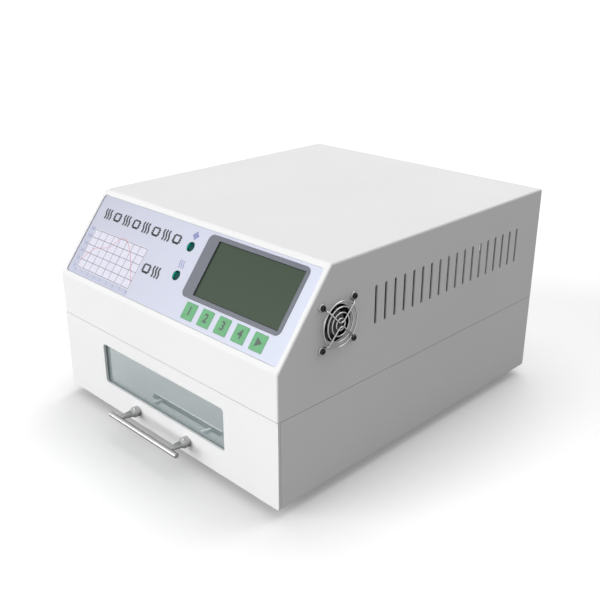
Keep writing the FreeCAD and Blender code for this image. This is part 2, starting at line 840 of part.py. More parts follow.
def wire_ring(radius, height):
    return turned_solid([(radius + r, height + z) for r, z in wire_section(WIRE_R)])


def guard_spoke():
    """One bent wire from ear to ear, raised over the rings and rounded near the middle."""
    ear = FAN_PITCH / 2
    high = GUARD_RISE + 2 * WIRE_R - GUARD_WELD
    step = math.sqrt(0.5)

    def at(distance, height, side):
        return Vector(side * (ear - distance * step), ear - distance * step, height)

    reach = GUARD_BEND
    bend_start = ear * math.sqrt(2) - reach
    apex = Vector(0, reach * (math.sqrt(2) - 1), high)
    path = Part.Wire(
        [
            Part.LineSegment(at(RAMP_START, WIRE_R, -1), at(RAMP_END, high, -1)).toShape(),
            Part.LineSegment(at(RAMP_END, high, -1), at(bend_start, high, -1)).toShape(),
            Part.Arc(at(bend_start, high, -1), apex, at(bend_start, high, 1)).toShape(),
            Part.LineSegment(at(bend_start, high, 1), at(RAMP_END, high, 1)).toShape(),
            Part.LineSegment(at(RAMP_END, high, 1), at(RAMP_START, WIRE_R, 1)).toShape(),
        ]
    )
    start = at(RAMP_START, WIRE_R, -1)
    ahead = at(RAMP_END, high, -1) - start
    ring = [Vector(x, y, 0) for x, y in wire_section(WIRE_R)]
    section = Part.makePolygon(ring + ring[:1])
    section.Placement = Placement(start, Rotation(Vector(0, 0, 1), ahead))
    return path.makePipeShell([section], True, False, 1)


def make_fan_guard():
    pieces = [wire_ring(GUARD_CORE_R + index * GUARD_STEP, GUARD_RISE) for index in range(GUARD_RINGS)]
    spoke = guard_spoke()
    pieces += [spoke, spoke.mirror(Vector(0, 0, 0), Vector(0, 1, 0))]
    for x, y in fan_corners():
        eye = wire_ring(EYE_R, WIRE_R)
        eye.translate(Vector(x, y, 0))
        pieces.append(eye)
    guard = pieces[0].fuse(pieces[1:])
    return placed(guard, TO_RIGHT, Vector(HALF_W, FAN_Y, TOP_Z - FAN_DROP))


def make_guard_screws():
    screws = []
    length = SHEET + 2 * WIRE_R + FAN_DEPTH - FIT
    for x, y in fan_corners():
        piece = screw(length)
        piece.translate(Vector(x, y, 2 * WIRE_R))
        screws.append(placed(piece, TO_RIGHT, Vector(HALF_W, FAN_Y, TOP_Z - FAN_DROP)))
    return screws


def make_exhaust_screws():
    screws = []
    for x, y in fan_corners():
        at = Vector(x, BODY_D, EXHAUST_Z + y)
        screws.append(placed(screw(SHEET + FAN_DEPTH - FIT), TO_BACK, at))
    return screws


# Mains socket and rocker switch, seen from the back.
def inlet_rect():
    z = inlet_z()
    return rect(INLET_X - INLET_W / 2, INLET_X + INLET_W / 2, z - INLET_H / 2, z + INLET_H / 2)


def make_power_inlet():
    z = inlet_z()
    body = upright(inlet_rect(), SMALL_R, BODY_D - INLET_DEPTH, BODY_D)
    lip = upright(grown(inlet_rect(), INLET_LIP), INLET_LIP, BODY_D, BODY_D + INLET_LIP_T)
    wide = SOCKET_W / 2
    tall = SOCKET_H / 2
    cut = SOCKET_CHAMFER
    mouth = [
        (INLET_X - wide, z - tall),
        (INLET_X + wide, z - tall),
        (INLET_X + wide, z + tall - cut),
        (INLET_X + wide - cut, z + tall),
        (INLET_X - wide + cut, z + tall),
        (INLET_X - wide, z + tall - cut),
    ]
    face = BODY_D + INLET_LIP_T
    socket = upright(mouth, 0, face - SOCKET_DEPTH, face + INLET_LIP_T)
    return body.fuse(lip).cut(socket).removeSplitter()


def make_inlet_pins():
    z = inlet_z()
    floor = BODY_D + INLET_LIP_T - SOCKET_DEPTH
    half = PIN_W / 2
    tall = PIN_H / 2
    pins = []
    for x, rise in ((-PIN_SPREAD, -PIN_DROP), (PIN_SPREAD, -PIN_DROP), (0, PIN_DROP)):
        middle = INLET_X + x
        pins.append(
            block(middle - half, middle + half, floor, floor + PIN_L, z + rise - tall, z + rise + tall)
        )
    return pins


def rocker_opening():
    z = inlet_z()
    half = ROCKER_W / 2 + ROCKER_PLAY
    tall = ROCKER_H / 2 + ROCKER_SWING / 2 + ROCKER_PLAY
    return rect(ROCKER_X - half, ROCKER_X + half, z - tall, z + tall)


def switch_rect():
    return grown(rocker_opening(), SWITCH_WALL)


def make_switch_body():
    body = upright(switch_rect(), SMALL_R, BODY_D - SWITCH_DEPTH, BODY_D)
    lip = upright(grown(switch_rect(), SWITCH_LIP), SWITCH_LIP, BODY_D, BODY_D + SWITCH_LIP_T)
    well_floor = BODY_D - SWITCH_DEPTH + SWITCH_WALL
    well = upright(rocker_opening(), SMALL_R / 2, well_floor, BODY_D + 2 * SWITCH_LIP_T)
    body = body.fuse(lip).cut(well)
    z = inlet_z()
    pivot_y = BODY_D - ROCKER_PIVOT
    x0 = ROCKER_X - ROCKER_W / 2 - ROCKER_PLAY - SWITCH_WALL / 2
    axle = rod(
        FAN_SHAFT_R,
        Vector(x0, pivot_y, z),
        Vector(2 * ROCKER_X - x0, pivot_y, z),
    )
    return body.fuse(axle).removeSplitter()


def make_rocker():
    z = inlet_z()
    half = ROCKER_H / 2
    out = BODY_D + SWITCH_LIP_T + ROCKER_PROUD
    dip = BODY_D + SWITCH_LIP_T - ROCKER_DIP
    waist = half - ROCKER_WAIST
    points = [
        (out, z - half),
        (dip, z),
        (out, z + half),
        (BODY_D - ROCKER_KEEL, z + waist),
        (BODY_D - 2 * ROCKER_KEEL, z),
        (BODY_D - ROCKER_KEEL, z - waist),
    ]
    radii = [ROCKER_R, ROCKER_DISH_R, ROCKER_R, ROCKER_R, ROCKER_KEEL_R, ROCKER_R]
    paddle = sideways(points, radii, ROCKER_X - ROCKER_W / 2, ROCKER_X + ROCKER_W / 2)
    pivot = Vector(ROCKER_X, BODY_D - ROCKER_PIVOT, z)
    reach = Vector(ROCKER_W, 0, 0)
    paddle = paddle.cut(rod(FAN_SHAFT_R + FAN_RUNNING_FIT, pivot - reach, pivot + reach))
    paddle.rotate(pivot, Vector(1, 0, 0), -ROCKER_TILT)
    return paddle


# Heating chamber, its heaters and probes.
def heater_places():
    first = HOOD_FRONT + HEATER_FIRST
    last = HOOD_BACK - HEATER_LAST
    step = (last - first) / (HEATER_COUNT - 1)
    return [first + index * step for index in range(HEATER_COUNT)]


def heater_z():
    return HOOD_TOP - HEATER_DROP


def probe_places():
    z = HOOD_TOP - PROBE_DROP
    return [(-1, PROBE_FRONT, z), (1, PROBE_REAR, z)]


def cap_holes(grow):
    half = CAP / 2 + grow
    z = heater_z()
    squares = [rect(y - half, y + half, z - half, z + half) for y in heater_places()]
    return [sideways(square, 0, -BODY_W, BODY_W) for square in squares]


def probe_holes(radius):
    return [
        rod(radius, Vector(side * HOOD_IN - side * LINER_T, y, z), Vector(side * INNER_X, y, z))
        for side, y, z in probe_places()
    ]


def duct_rect():
    half = DUCT / 2
    return rect(-half, half, EXHAUST_Z - half, EXHAUST_Z + half)


def make_chamber_hood():
    outer = block(-HOOD_X, HOOD_X, HOOD_FRONT, HOOD_BACK, FLOOR_Z, HOOD_TOP)
    inner = block(-HOOD_IN, HOOD_IN, HOOD_FRONT + LINER_T, HOOD_BACK - LINER_T, 0, HOOD_TOP - LINER_T)
    mouth = block(-HOOD_IN, HOOD_IN, 0, HOOD_FRONT + 2 * LINER_T, 0, HOOD_TOP - LIP_DROP)
    hood = outer.cut([inner, mouth])
    foot_top = FLOOR_Z + LINER_T
    foot = block(HOOD_X - LINER_T / 2, HOOD_X + HOOD_FOOT, HOOD_FRONT, HOOD_BACK, FLOOR_Z, foot_top)
    hood = hood.fuse(both_sides(foot))
    cuts = cap_holes(FIT / 2) + probe_holes(PROBE_R + FIT)
    cuts.append(upright(duct_rect(), 0, HOOD_BACK - 2 * LINER_T, BODY_D))
    return hood.cut(cuts).removeSplitter()


def make_chamber_floor():
    wide = HOOD_IN - FIT
    front = HOOD_FRONT
    back = HOOD_BACK - LINER_T - FIT
    top = FLOOR_Z + PAN_LIFT
    pan = block(-wide, wide, front, back, FLOOR_Z, top)
    under = block(LINER_T - wide, wide - LINER_T, front + LINER_T, back - LINER_T, FLOOR_Z, top - LINER_T)
    return pan.cut(under)


def make_insulation():
    wide = HOOD_X + INSULATION_T
    low = FLOOR_Z + LINER_T
    outer = block(-wide, wide, HOOD_FRONT, HOOD_BACK, low, HOOD_TOP + INSULATION_T)
    inner = block(-HOOD_X, HOOD_X, 0, BODY_D, 0, HOOD_TOP)
    return outer.cut([inner] + cap_holes(FIT) + probe_holes(PROBE_R + FIT))


def make_reflector():
    """A bright sheet with one shallow arch over each heater."""
    places = heater_places()
    step = places[1] - places[0]
    top = HOOD_TOP - LINER_T - FIT
    low = top - REFLECTOR_RISE

    def arches(drop):
        edges = []
        for y in places:
            ends = [Vector(0, y - step / 2, low - drop), Vector(0, y + step / 2, low - drop)]
            edges.append(Part.Arc(ends[0], Vector(0, y, top - drop), ends[1]).toShape())
        return edges

    upper = arches(0)
    lower = arches(REFLECTOR_T)
    start = places[0] - step / 2
    finish = places[-1] + step / 2
    ends = []
    for y in (start, finish):
        ends.append(Part.LineSegment(Vector(0, y, low), Vector(0, y, low - REFLECTOR_T)).toShape())
    wire = Part.Wire(Part.__sortEdges__(upper + lower + ends))
    wide = HOOD_IN - REFLECTOR_SIDE
    sheet = Part.Face(wire).extrude(Vector(2 * wide, 0, 0))
    sheet.translate(Vector(-wide, 0, 0))
    return sheet


def make_heater_tubes():
    reach = HOOD_IN - CAP_INSIDE + CAP_BORE - CAP_FIT
    z = heater_z()
    return [rod(HEATER_R, Vector(-reach, y, z), Vector(reach, y, z)) for y in heater_places()]


def make_heater_caps():
    half = CAP / 2
    z = heater_z()
    inside = HOOD_IN - CAP_INSIDE
    caps = []
    for y in heater_places():
        cap = block(inside, HOOD_X + CAP_OUTSIDE, y - half, y + half, z - half, z + half)
        bore = rod(HEATER_R + CAP_FIT, Vector(0, y, z), Vector(inside + CAP_BORE, y, z))
        caps += both_sides(cap.cut(bore))
    return caps


def make_thermocouples():
    probes = []
    for side, y, z in probe_places():
        tip = Vector(side * (HOOD_IN - PROBE_L), y, z)
        wall = Vector(side * HOOD_IN, y, z)
        out = Vector(side * LINER_T, 0, 0)
        sheath = rod(PROBE_R, tip, wall + 2 * out)
        nut = rod(PROBE_NUT_R, wall - Vector(side * PROBE_NUT_T, 0, 0), wall)
        probes.append(sheath.fuse(nut).removeSplitter())
    return probes


def make_exhaust_duct():
    front = HOOD_BACK
    back = BODY_D - SHEET - FAN_DEPTH
    tube = upright(grown(duct_rect(), LINER_T), 0, front, back)
    flange = upright(grown(duct_rect(), HOOD_FOOT), 0, front, front + LINER_T)
    return tube.fuse(flange).cut(upright(duct_rect(), 0, 0, BODY_D)).removeSplitter()


# Deck over the chamber with the power electronics.
def make_electronics_deck():
    wide = INNER_X - FIT
    front = HOOD_FRONT + DECK_FRONT
    back = BODY_D - 2 * SHEET - DECK_REAR
    plate = block(-wide, wide, front, back, DECK_Z, DECK_TOP)
    leg = block(wide - SHEET, wide, front, back, BASE_TOP, DECK_TOP)
    foot = block(INNER_X - HEM, wide, front, back, BASE_TOP, BASE_TOP + SHEET)
    return plate.fuse(both_sides(leg) + both_sides(foot)).removeSplitter()


def board_corners():
    inset = 2 * STANDOFF_R
    x = POWER_W / 2 - inset
    y = POWER_D / 2 - inset
    return [(POWER_X + i * x, POWER_Y + j * y) for i in (-1, 1) for j in (-1, 1)]


def deck_standoffs():
    return [hexagon_post(x, y, DECK_TOP, DECK_TOP + STANDOFF_H) for x, y in board_corners()]


def power_board_top():
    return DECK_TOP + STANDOFF_H + BOARD_T


def centred_block(middle_x, middle_y, wide, deep, low, high):
    return block(
        middle_x - wide / 2,
        middle_x + wide / 2,
        middle_y - deep / 2,
        middle_y + deep / 2,
        low,
        high,
    )


def make_power_board():
    top = power_board_top()
    return centred_block(POWER_X, POWER_Y, POWER_W, POWER_D, top - BOARD_T, top)


def make_heat_sink():
    first = POWER_X - SINK_W / 2
    front = SINK_Y - SINK_D / 2
    low = power_board_top()
    high = low + SINK_H
    plate = block(first, first + SINK_W, front, front + SINK_BASE, low, high)
    step = (SINK_W - FIN_T) / (SINK_FINS - 1)
    fins = []
    for index in range(SINK_FINS):
        left = first + index * step
        fins.append(block(left, left + FIN_T, front, front + SINK_D, low, high))
    return plate.fuse(fins).removeSplitter()


def make_triacs():
    back = SINK_Y - SINK_D / 2
    front = back - TRIAC_D
    foot = power_board_top()
    low = foot + STANDOFF_R
    pieces = []
    for middle in (POWER_X - SINK_W / 4, POWER_X + SINK_W / 4):
        wide = TRIAC_W / 2
        body = block(middle - wide, middle + wide, front, back, low, low + TRIAC_H)
        half = TRIAC_LEG / 2
        leg = block(middle - half, middle + half, front, front + TRIAC_LEG_T, foot, low)
        pieces.append(body.fuse(leg).removeSplitter())
    return pieces


def make_transformer_core():
    high = DECK_TOP + CORE_H
    core = centred_block(CORE_X, CORE_Y, CORE_W, CORE_D, DECK_TOP, high)
    window = (CORE_W - 4 * CORE_LEG) / 2
    cuts = []
    for side in (-1, 1):
        middle = CORE_X + side * (CORE_LEG + window / 2)
        cuts.append(centred_block(middle, CORE_Y, window, 2 * CORE_D, DECK_TOP + CORE_LEG, high - CORE_LEG))
    return core.cut(cuts)


def make_transformer_coil():
    """The winding on its bobbin, through both windows of the core."""
    window = (CORE_W - 4 * CORE_LEG) / 2
    outer = CORE_LEG + window - FIT
    low = DECK_TOP + CORE_LEG + FIT
    high = DECK_TOP + CORE_H - CORE_LEG - FIT
    reach = CORE_D / 2 + COIL_OVER
    around = rect(CORE_X - outer, CORE_X + outer, CORE_Y - reach, CORE_Y + reach)
    leg = 2 * (CORE_LEG + FIT)
    core = centred_block(CORE_X, CORE_Y, leg, CORE_D + 2 * FIT, 0, TOP_Z)
    return prism(around, window / 2, low, high).cut(core)


# Telescopic slides: each is three nested channels on the chamber's inner walls.
def channel(web_x, open_x, half_h):
    """A channel on the right with its web at web_x and its flanges reaching to open_x."""
    front = HOOD_FRONT + SLIDE_FRONT
    back = TRAY_BACK - SLIDE_REAR
    middle = FOOT_H + SLIDE_RISE
    low = min(web_x, open_x)
    high = max(web_x, open_x)
    body = block(low, high, front, back, middle - half_h, middle + half_h)
    sheet = SLIDE_SHEET
    left = low + sheet if web_x < open_x else low - sheet
    right = high - sheet if web_x > open_x else high + sheet
    return body.cut(block(left, right, 0, BODY_D, middle - half_h + sheet, middle + half_h - sheet))


def slide_step():
    return SLIDE_SHEET + SLIDE_FIT


def make_slide_outer():
    return channel(HOOD_IN, HOOD_IN - SLIDE_REACH, SLIDE_H / 2)


def make_slide_middle():
    web = HOOD_IN - slide_step()
    return channel(web, TRAY_X + slide_step(), SLIDE_H / 2 - slide_step())


def make_slide_inner():
    tip = HOOD_IN - 2 * slide_step()
    return channel(TRAY_X, tip, SLIDE_H / 2 - 2 * slide_step())


# Drawer with its front, window, handle, tray and rack.
def window_rect(grow=0.0):
    wide = WINDOW_W / 2 + grow
    tall = WINDOW_H / 2 + grow
    return rect(-wide, wide, WINDOW_Z - tall, WINDOW_Z + tall)


def handle_places():
    return [(-HANDLE_PITCH / 2, HANDLE_Z), (HANDLE_PITCH / 2, HANDLE_Z)]


def make_drawer_front():
    plate = upright(
        rect(-HALF_W, HALF_W, FOOT_H, BASE_TOP),
        [BEND_R, BEND_R, FRONT_R, FRONT_R],
        0,
        FRONT_T,
    )
    wide = INNER_X - FRONT_CLEAR
    low = FLOOR_Z + FRONT_CLEAR
    high = BASE_TOP - SHEET - FRONT_CLEAR
    turn = upright(rect(-wide, wide, low, high), BEND_R, FRONT_T / 2, FRONT_T + FRONT_TURN)
    inside = rect(SHEET - wide, wide - SHEET, low + SHEET, high - SHEET)
    turn = turn.cut(upright(inside, BEND_R - SHEET, 0, BODY_D))
    cuts = [upright(window_rect(), WINDOW_R, -FRONT_T, 2 * FRONT_T)]
    for x, z in handle_places():
        cuts.append(rod(BOLT_R + BOLT_FIT, Vector(x, -FRONT_T, z), Vector(x, 2 * FRONT_T, z)))
    return plate.fuse(turn).cut(cuts).removeSplitter()


def make_window_gasket():
    ring = upright(window_rect(GLASS_EDGE), WINDOW_R, FRONT_T, FRONT_T + GASKET_T)
    return ring.cut(upright(window_rect(), WINDOW_R, 0, BODY_D))


def make_window_glass():
    front = FRONT_T + GASKET_T
    return upright(window_rect(GLASS_EDGE), WINDOW_R, front, front + GLASS_T)


def retainer_screw_places():
    x = WINDOW_W / 2 + RETAINER_EDGE + RETAINER_TAB / 2
    back = FRONT_T + RETAINER_T
    rise = RETAINER_TAB / 2
    return [Vector(side * x, back, WINDOW_Z + up) for side in (-1, 1) for up in (-rise, rise)]


def make_window_retainer():
    """A sheet frame that wraps the pane's edge and holds it to the drawer front."""
    back = FRONT_T + GASKET_T + GLASS_T
    skirt = upright(window_rect(RETAINER_EDGE), WINDOW_R, FRONT_T, back + RETAINER_T)
    pane = upright(window_rect(GLASS_EDGE + FIT), WINDOW_R, 0, back)
    view = upright(window_rect(), WINDOW_R, 0, BODY_D)
    edge = WINDOW_W / 2 + RETAINER_EDGE
    tab = block(
        edge - RETAINER_T / 2,
        edge + RETAINER_TAB,
        FRONT_T,
        FRONT_T + RETAINER_T,
        WINDOW_Z - RETAINER_TAB,
        WINDOW_Z + RETAINER_TAB,
    )
    frame = skirt.cut([pane, view]).fuse(both_sides(tab))
    holes = [rod(SCREW_HOLE_R, at - Vector(0, 2 * RETAINER_T, 0), at) for at in retainer_screw_places()]
    return frame.cut(holes).removeSplitter()


def make_retainer_screws():
    return [placed(screw(RETAINER_T), TO_BACK, at) for at in retainer_screw_places()]


def make_handle_bar():
    points = [
        (0, -BAR_L / 2),
        (BAR_R - BAR_CHAMFER, -BAR_L / 2),
        (BAR_R, BAR_CHAMFER - BAR_L / 2),
        (BAR_R, BAR_L / 2 - BAR_CHAMFER),
        (BAR_R - BAR_CHAMFER, BAR_L / 2),
        (0, BAR_L / 2),
    ]
    return placed(turned_solid(points), TO_RIGHT, Vector(0, -HANDLE_REACH, HANDLE_Z))


def make_handle_posts():
    """Round posts with a collar against the front and a shoulder that narrows to the bar."""
    middle_r = (COLLAR_R + SHOULDER_R) / 2
    points = [
        (0, 0),
        (COLLAR_R, 0),
        (COLLAR_R, COLLAR_L - BAR_CHAMFER),
        (COLLAR_R - BAR_CHAMFER, COLLAR_L),
        (middle_r, COLLAR_L + SHOULDER_CROWN),
        (SHOULDER_R, COLLAR_L + SHOULDER_L),
        (NECK_R, HANDLE_REACH),
        (0, HANDLE_REACH),
    ]
    seat = Part.makeCylinder(
        BAR_R + SADDLE_FIT,
        2 * COLLAR_R,
        Vector(-COLLAR_R, 0, HANDLE_REACH),
        Vector(1, 0, 0),
    )
    bore = Part.makeCylinder(BOLT_R + BOLT_FIT, BOLT_L)
    post = turned_solid(points).cut([seat, bore])
    return [placed(post, TO_FRONT, Vector(x, 0, z)) for x, z in handle_places()]


def make_handle_screws():
    back = FRONT_T + TRAY_T
    length = back + BOLT_L - BOLT_R
    piece = screw(length, BOLT_R, BOLT_HEAD_R, BOLT_HEAD_H)
    return [placed(piece, TO_BACK, Vector(x, back, z)) for x, z in handle_places()]


def tray_front_top():
    return WINDOW_Z - WINDOW_H / 2 - RETAINER_EDGE - TRAY_FRONT_CLEAR


def make_drawer_tray():
    front = FRONT_T
    inner = TRAY_X - TRAY_T
    floor = block(-TRAY_X, TRAY_X, front, TRAY_BACK, TRAY_Z, TRAY_Z + TRAY_T)
    side = block(inner, TRAY_X, front + FRONT_TURN, TRAY_BACK, TRAY_Z, TRAY_Z + TRAY_H)
    front_wall = block(-TRAY_X, TRAY_X, front, front + TRAY_T, TRAY_Z, tray_front_top())
    rear_wall = block(-TRAY_X, TRAY_X, TRAY_BACK - TRAY_T, TRAY_BACK, TRAY_Z, TRAY_Z + TRAY_REAR_H)
    tray = floor.fuse(both_sides(side) + [front_wall, rear_wall])
    cuts = [rod(BOLT_R + BOLT_FIT, Vector(x, 0, z), Vector(x, 2 * front, z)) for x, z in handle_places()]
    return tray.cut(cuts).removeSplitter()


def rack_z():
    """Height of the long wires' middle line."""
    return TRAY_Z + TRAY_T + RACK_RISE


def make_wire_rack():
    wide = TRAY_X - TRAY_T - RACK_MARGIN
    front = FRONT_T + FRONT_TURN + RACK_MARGIN
    back = TRAY_BACK - TRAY_T - RACK_MARGIN
    step = 2 * wide / (RACK_WIRES - 1)
    bar_z = rack_z() - RACK_WIRE_R - RACK_BAR_R + RACK_WELD
    pieces = []
    for index in range(RACK_WIRES):
        x = index * step - wide
        pieces.append(straight_wire(RACK_WIRE_R, Vector(x, front, rack_z()), Vector(x, back, rack_z())))
    run = (back - front - 2 * RACK_OVERHANG) / (RACK_BARS - 1)
    bars = []
    for index in range(RACK_BARS):
        y = front + RACK_OVERHANG + index * run
        end = wide + RACK_BAR_R
        bar = straight_wire(RACK_BAR_R, Vector(-end, y, bar_z), Vector(end, y, bar_z))
        legs = [
            straight_wire(RACK_BAR_R, Vector(x, y, TRAY_Z + TRAY_T), Vector(x, y, bar_z))
            for x in (step / 2 - wide, wide - step / 2)
        ]
        bars.append(bar.fuse(legs))
    return pieces[0].fuse(pieces[1:] + bars).removeSplitter()


def whole_part():
    """Every piece of the oven by name, at rest with the drawer shut."""
    pieces = {
        "base_housing": make_base_housing(),
        "top_cover": make_top_cover(),
        "rear_panel": make_rear_panel(),
        "case_screws": make_case_screws(),
        "rubber_feet": make_feet(),
        "control_overlay": make_control_overlay(),
        "lcd_bezel": make_lcd_bezel(),
        "lcd_glass": make_lcd_glass(),
        "lcd_board": make_lcd_board(),
        "control_board": make_control_board(),
        "key_switches": make_key_switches(),
        "board_standoffs": console_standoffs() + deck_standoffs(),
        "lower_led": make_led(LED_RISES[0]),
        "upper_led": make_led(LED_RISES[1]),
        "side_fan_frame": side_fan(fan_frame()),
        "side_fan_rotor": side_fan(fan_rotor()),
        "fan_guard": make_fan_guard(),
        "guard_screws": make_guard_screws(),
        "exhaust_fan_frame": exhaust_fan(fan_frame()),
        "exhaust_fan_rotor": exhaust_fan(fan_rotor()),
        "exhaust_screws": make_exhaust_screws(),
        "exhaust_duct": make_exhaust_duct(),
        "power_inlet": make_power_inlet(),
        "inlet_pins": make_inlet_pins(),
        "switch_body": make_switch_body(),
        "rocker": make_rocker(),
        "chamber_hood": make_chamber_hood(),
        "chamber_floor": make_chamber_floor(),
        "insulation_blanket": make_insulation(),
        "reflector": make_reflector(),
        "heater_tubes": make_heater_tubes(),
        "heater_caps": make_heater_caps(),
        "thermocouples": make_thermocouples(),
        "electronics_deck": make_electronics_deck(),
        "power_board": make_power_board(),
        "heat_sink": make_heat_sink(),
        "triacs": make_triacs(),
        "transformer_core": make_transformer_core(),
        "transformer_coil": make_transformer_coil(),
        "slide_outer_right": make_slide_outer(),
        "slide_outer_left": mirrored(make_slide_outer()),
        "slide_middle_right": make_slide_middle(),
        "slide_middle_left": mirrored(make_slide_middle()),
        "slide_inner_right": make_slide_inner(),
        "slide_inner_left": mirrored(make_slide_inner()),
        "drawer_front": make_drawer_front(),
        "window_gasket": make_window_gasket(),
        "window_glass": make_window_glass(),
        "window_retainer": make_window_retainer(),
        "retainer_screws": make_retainer_screws(),
        "handle_bar": make_handle_bar(),
        "handle_posts": make_handle_posts(),
        "handle_screws": make_handle_screws(),
        "drawer_tray": make_drawer_tray(),
        "wire_rack": make_wire_rack(),
    }
    for index in range(KEY_COUNT):
        pieces["key_" + str(index + 1)] = make_key(index)
    return pieces


def save(pieces):
    os.makedirs("parts", exist_ok=True)
    for name, shape in pieces.items():
        solids = []
        for piece in shape if isinstance(shape, list) else [shape]:
            solids += piece.Solids
        whole = solids[0] if len(solids) == 1 else Part.makeCompound(solids)
        whole.translate(Vector(0, -MIDDLE_Y, 0))
        whole.exportStep("parts/" + name + ".step")


save(whole_part())
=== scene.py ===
import json
import math

import bmesh
import bpy
from mathutils import Matrix, Vector


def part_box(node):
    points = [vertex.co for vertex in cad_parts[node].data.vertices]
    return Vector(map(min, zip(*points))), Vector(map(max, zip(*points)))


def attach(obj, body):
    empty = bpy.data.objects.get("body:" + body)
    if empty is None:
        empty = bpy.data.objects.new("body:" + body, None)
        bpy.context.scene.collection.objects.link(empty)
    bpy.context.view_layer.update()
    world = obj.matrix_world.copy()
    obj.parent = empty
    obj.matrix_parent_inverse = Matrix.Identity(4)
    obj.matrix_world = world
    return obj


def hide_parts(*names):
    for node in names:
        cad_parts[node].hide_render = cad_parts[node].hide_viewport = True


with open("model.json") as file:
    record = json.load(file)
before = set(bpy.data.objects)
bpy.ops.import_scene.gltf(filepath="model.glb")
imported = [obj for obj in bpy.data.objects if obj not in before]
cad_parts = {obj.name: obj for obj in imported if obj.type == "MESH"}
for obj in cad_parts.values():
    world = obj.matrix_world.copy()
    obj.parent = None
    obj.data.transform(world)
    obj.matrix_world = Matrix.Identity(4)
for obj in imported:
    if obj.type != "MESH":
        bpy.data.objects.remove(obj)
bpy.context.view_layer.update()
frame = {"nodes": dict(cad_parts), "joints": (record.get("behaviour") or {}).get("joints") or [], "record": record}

MM = 0.001

# Camera, worked out from the case's corners in the photograph.
CAMERA_AT = Vector((0.48885, -0.48417, 0.37042))
CAMERA_TARGET = Vector((0.02535, -0.02021, 0.09804))
CAMERA_LENS = 50.0
CAMERA_SENSOR = 36.0

# Light: an even sky, a broad low lamp from the front left and a broad high one from behind.
# A lamp's level is the brightness that it gives to white facing it, and its angles are in degrees.
SKY_LEVEL = 0.37
FRONT_LAMP = {"level": 0.96, "turn": 25.0, "rise": 12.0, "spread": 50.0}
REAR_LAMP = {"level": 0.43, "turn": 176.0, "rise": 56.0, "spread": 55.0}
FLOOR_SIZE = 60.0
FLOOR_COLOR = (0.96, 0.96, 0.96, 1.0)
FLOOR_BOUNCE = (0.36, 0.36, 0.36, 1.0)
FLOOR_LIFT = 0.21
CONTACT_REACH = 0.1
CONTACT_SHADE = 0.56

# Surfaces: the range that most values of a noise lie in, and the depths of relief.
NOISE_LOW = 0.3
NOISE_HIGH = 0.7
FINE_RELIEF = 0.1 * MM
GRAIN_RELIEF = 0.2 * MM
PLATE_RELIEF = 0.3 * MM
WOOL_RELIEF = 1.0 * MM
EDGE_SAMPLES = 6
BRUSH_ALONG = 12.0
BRUSH_ACROSS = 900.0
BRUSH_EDGE = 0.3 * MM
DOT = 0.6 * MM
DOT_GAP = 0.08 * MM

# Mottled surfaces: a colour, how far its patches stray from it, patches and grains per metre,
# the range of roughness, the strength of the grain, and the radius that edges look rounded by.
MOTTLED = {
    "white_paint": {
        "color": (0.865, 0.865, 0.87), "stray": 0.012, "patch": 9.0, "rough": (0.62, 0.7),
        "grain": 1400.0, "relief": 0.06, "edge": 0.6 * MM, "Specular_IOR_Level": 0.005,
    },
    "bezel_grey": {
        "color": (0.142, 0.15, 0.186), "stray": 0.03, "patch": 60.0, "rough": (0.42, 0.52),
        "grain": 1800.0, "relief": 0.08, "edge": 0.4 * MM,
    },
    "key_green": {
        "color": (0.115, 0.39, 0.17), "stray": 0.05, "patch": 160.0, "rough": (0.34, 0.44),
        "grain": 1600.0, "relief": 0.08, "edge": 0.3 * MM,
    },
    "black_plastic": {
        "color": (0.016, 0.016, 0.017), "stray": 0.15, "patch": 120.0, "rough": (0.38, 0.5),
        "grain": 1500.0, "relief": 0.12, "edge": 0.3 * MM,
    },
    "black_screws": {
        "color": (0.02, 0.02, 0.021), "stray": 0.2, "patch": 300.0, "rough": (0.28, 0.4),
        "grain": 1500.0, "relief": 0.1, "Metallic": 0.6,
    },
    "steel_screws": {
        "color": (0.55, 0.55, 0.54), "stray": 0.08, "patch": 300.0, "rough": (0.24, 0.36),
        "grain": 1500.0, "relief": 0.06, "Metallic": 1.0,
    },
    "foot_rubber": {
        "color": (0.02, 0.02, 0.02), "stray": 0.2, "patch": 200.0, "rough": (0.7, 0.85),
        "grain": 1100.0, "relief": 0.25, "edge": 0.6 * MM,
    },
    "seal_rubber": {
        "color": (0.27, 0.3, 0.305), "stray": 0.1, "patch": 200.0, "rough": (0.6, 0.75),
        "grain": 1100.0, "relief": 0.2,
    },
    "heater_ceramic": {
        "color": (0.76, 0.73, 0.66), "stray": 0.05, "patch": 140.0, "rough": (0.6, 0.75),
        "grain": 900.0, "relief": 0.2, "edge": 0.5 * MM,
    },
    "coil_tape": {
        "color": (0.62, 0.42, 0.06), "stray": 0.08, "patch": 90.0, "rough": (0.35, 0.5),
        "grain": 500.0, "relief": 0.2,
    },
}
INK = {"stray": 0.06, "patch": 700.0, "rough": (0.45, 0.55), "grain": 2500.0, "relief": 0.03}

# Brushed metals: a colour, the axis that the lines run along, and the range of roughness.
BRUSHED = {
    "steel_sheet": {"color": (0.50, 0.51, 0.52), "along": "X", "rough": (0.26, 0.4)},
    "slide_steel": {"color": (0.56, 0.57, 0.60), "along": "Y", "rough": (0.28, 0.4)},
    "bright_aluminium": {"color": (0.78, 0.78, 0.79), "along": "X", "rough": (0.14, 0.24)},
    "pin_brass": {"color": (0.66, 0.50, 0.22), "along": "Y", "rough": (0.2, 0.32)},
}

# Plated metals: how bright their painted reflection is on faces that look down and on faces that look up, and the
# range of roughness.
PLATED = {
    "bright_wire": {"low": 0.22, "high": 0.66, "rough": (0.14, 0.24)},
    "handle_chrome": {"low": 0.2, "high": 0.5, "rough": (0.2, 0.25)},
}

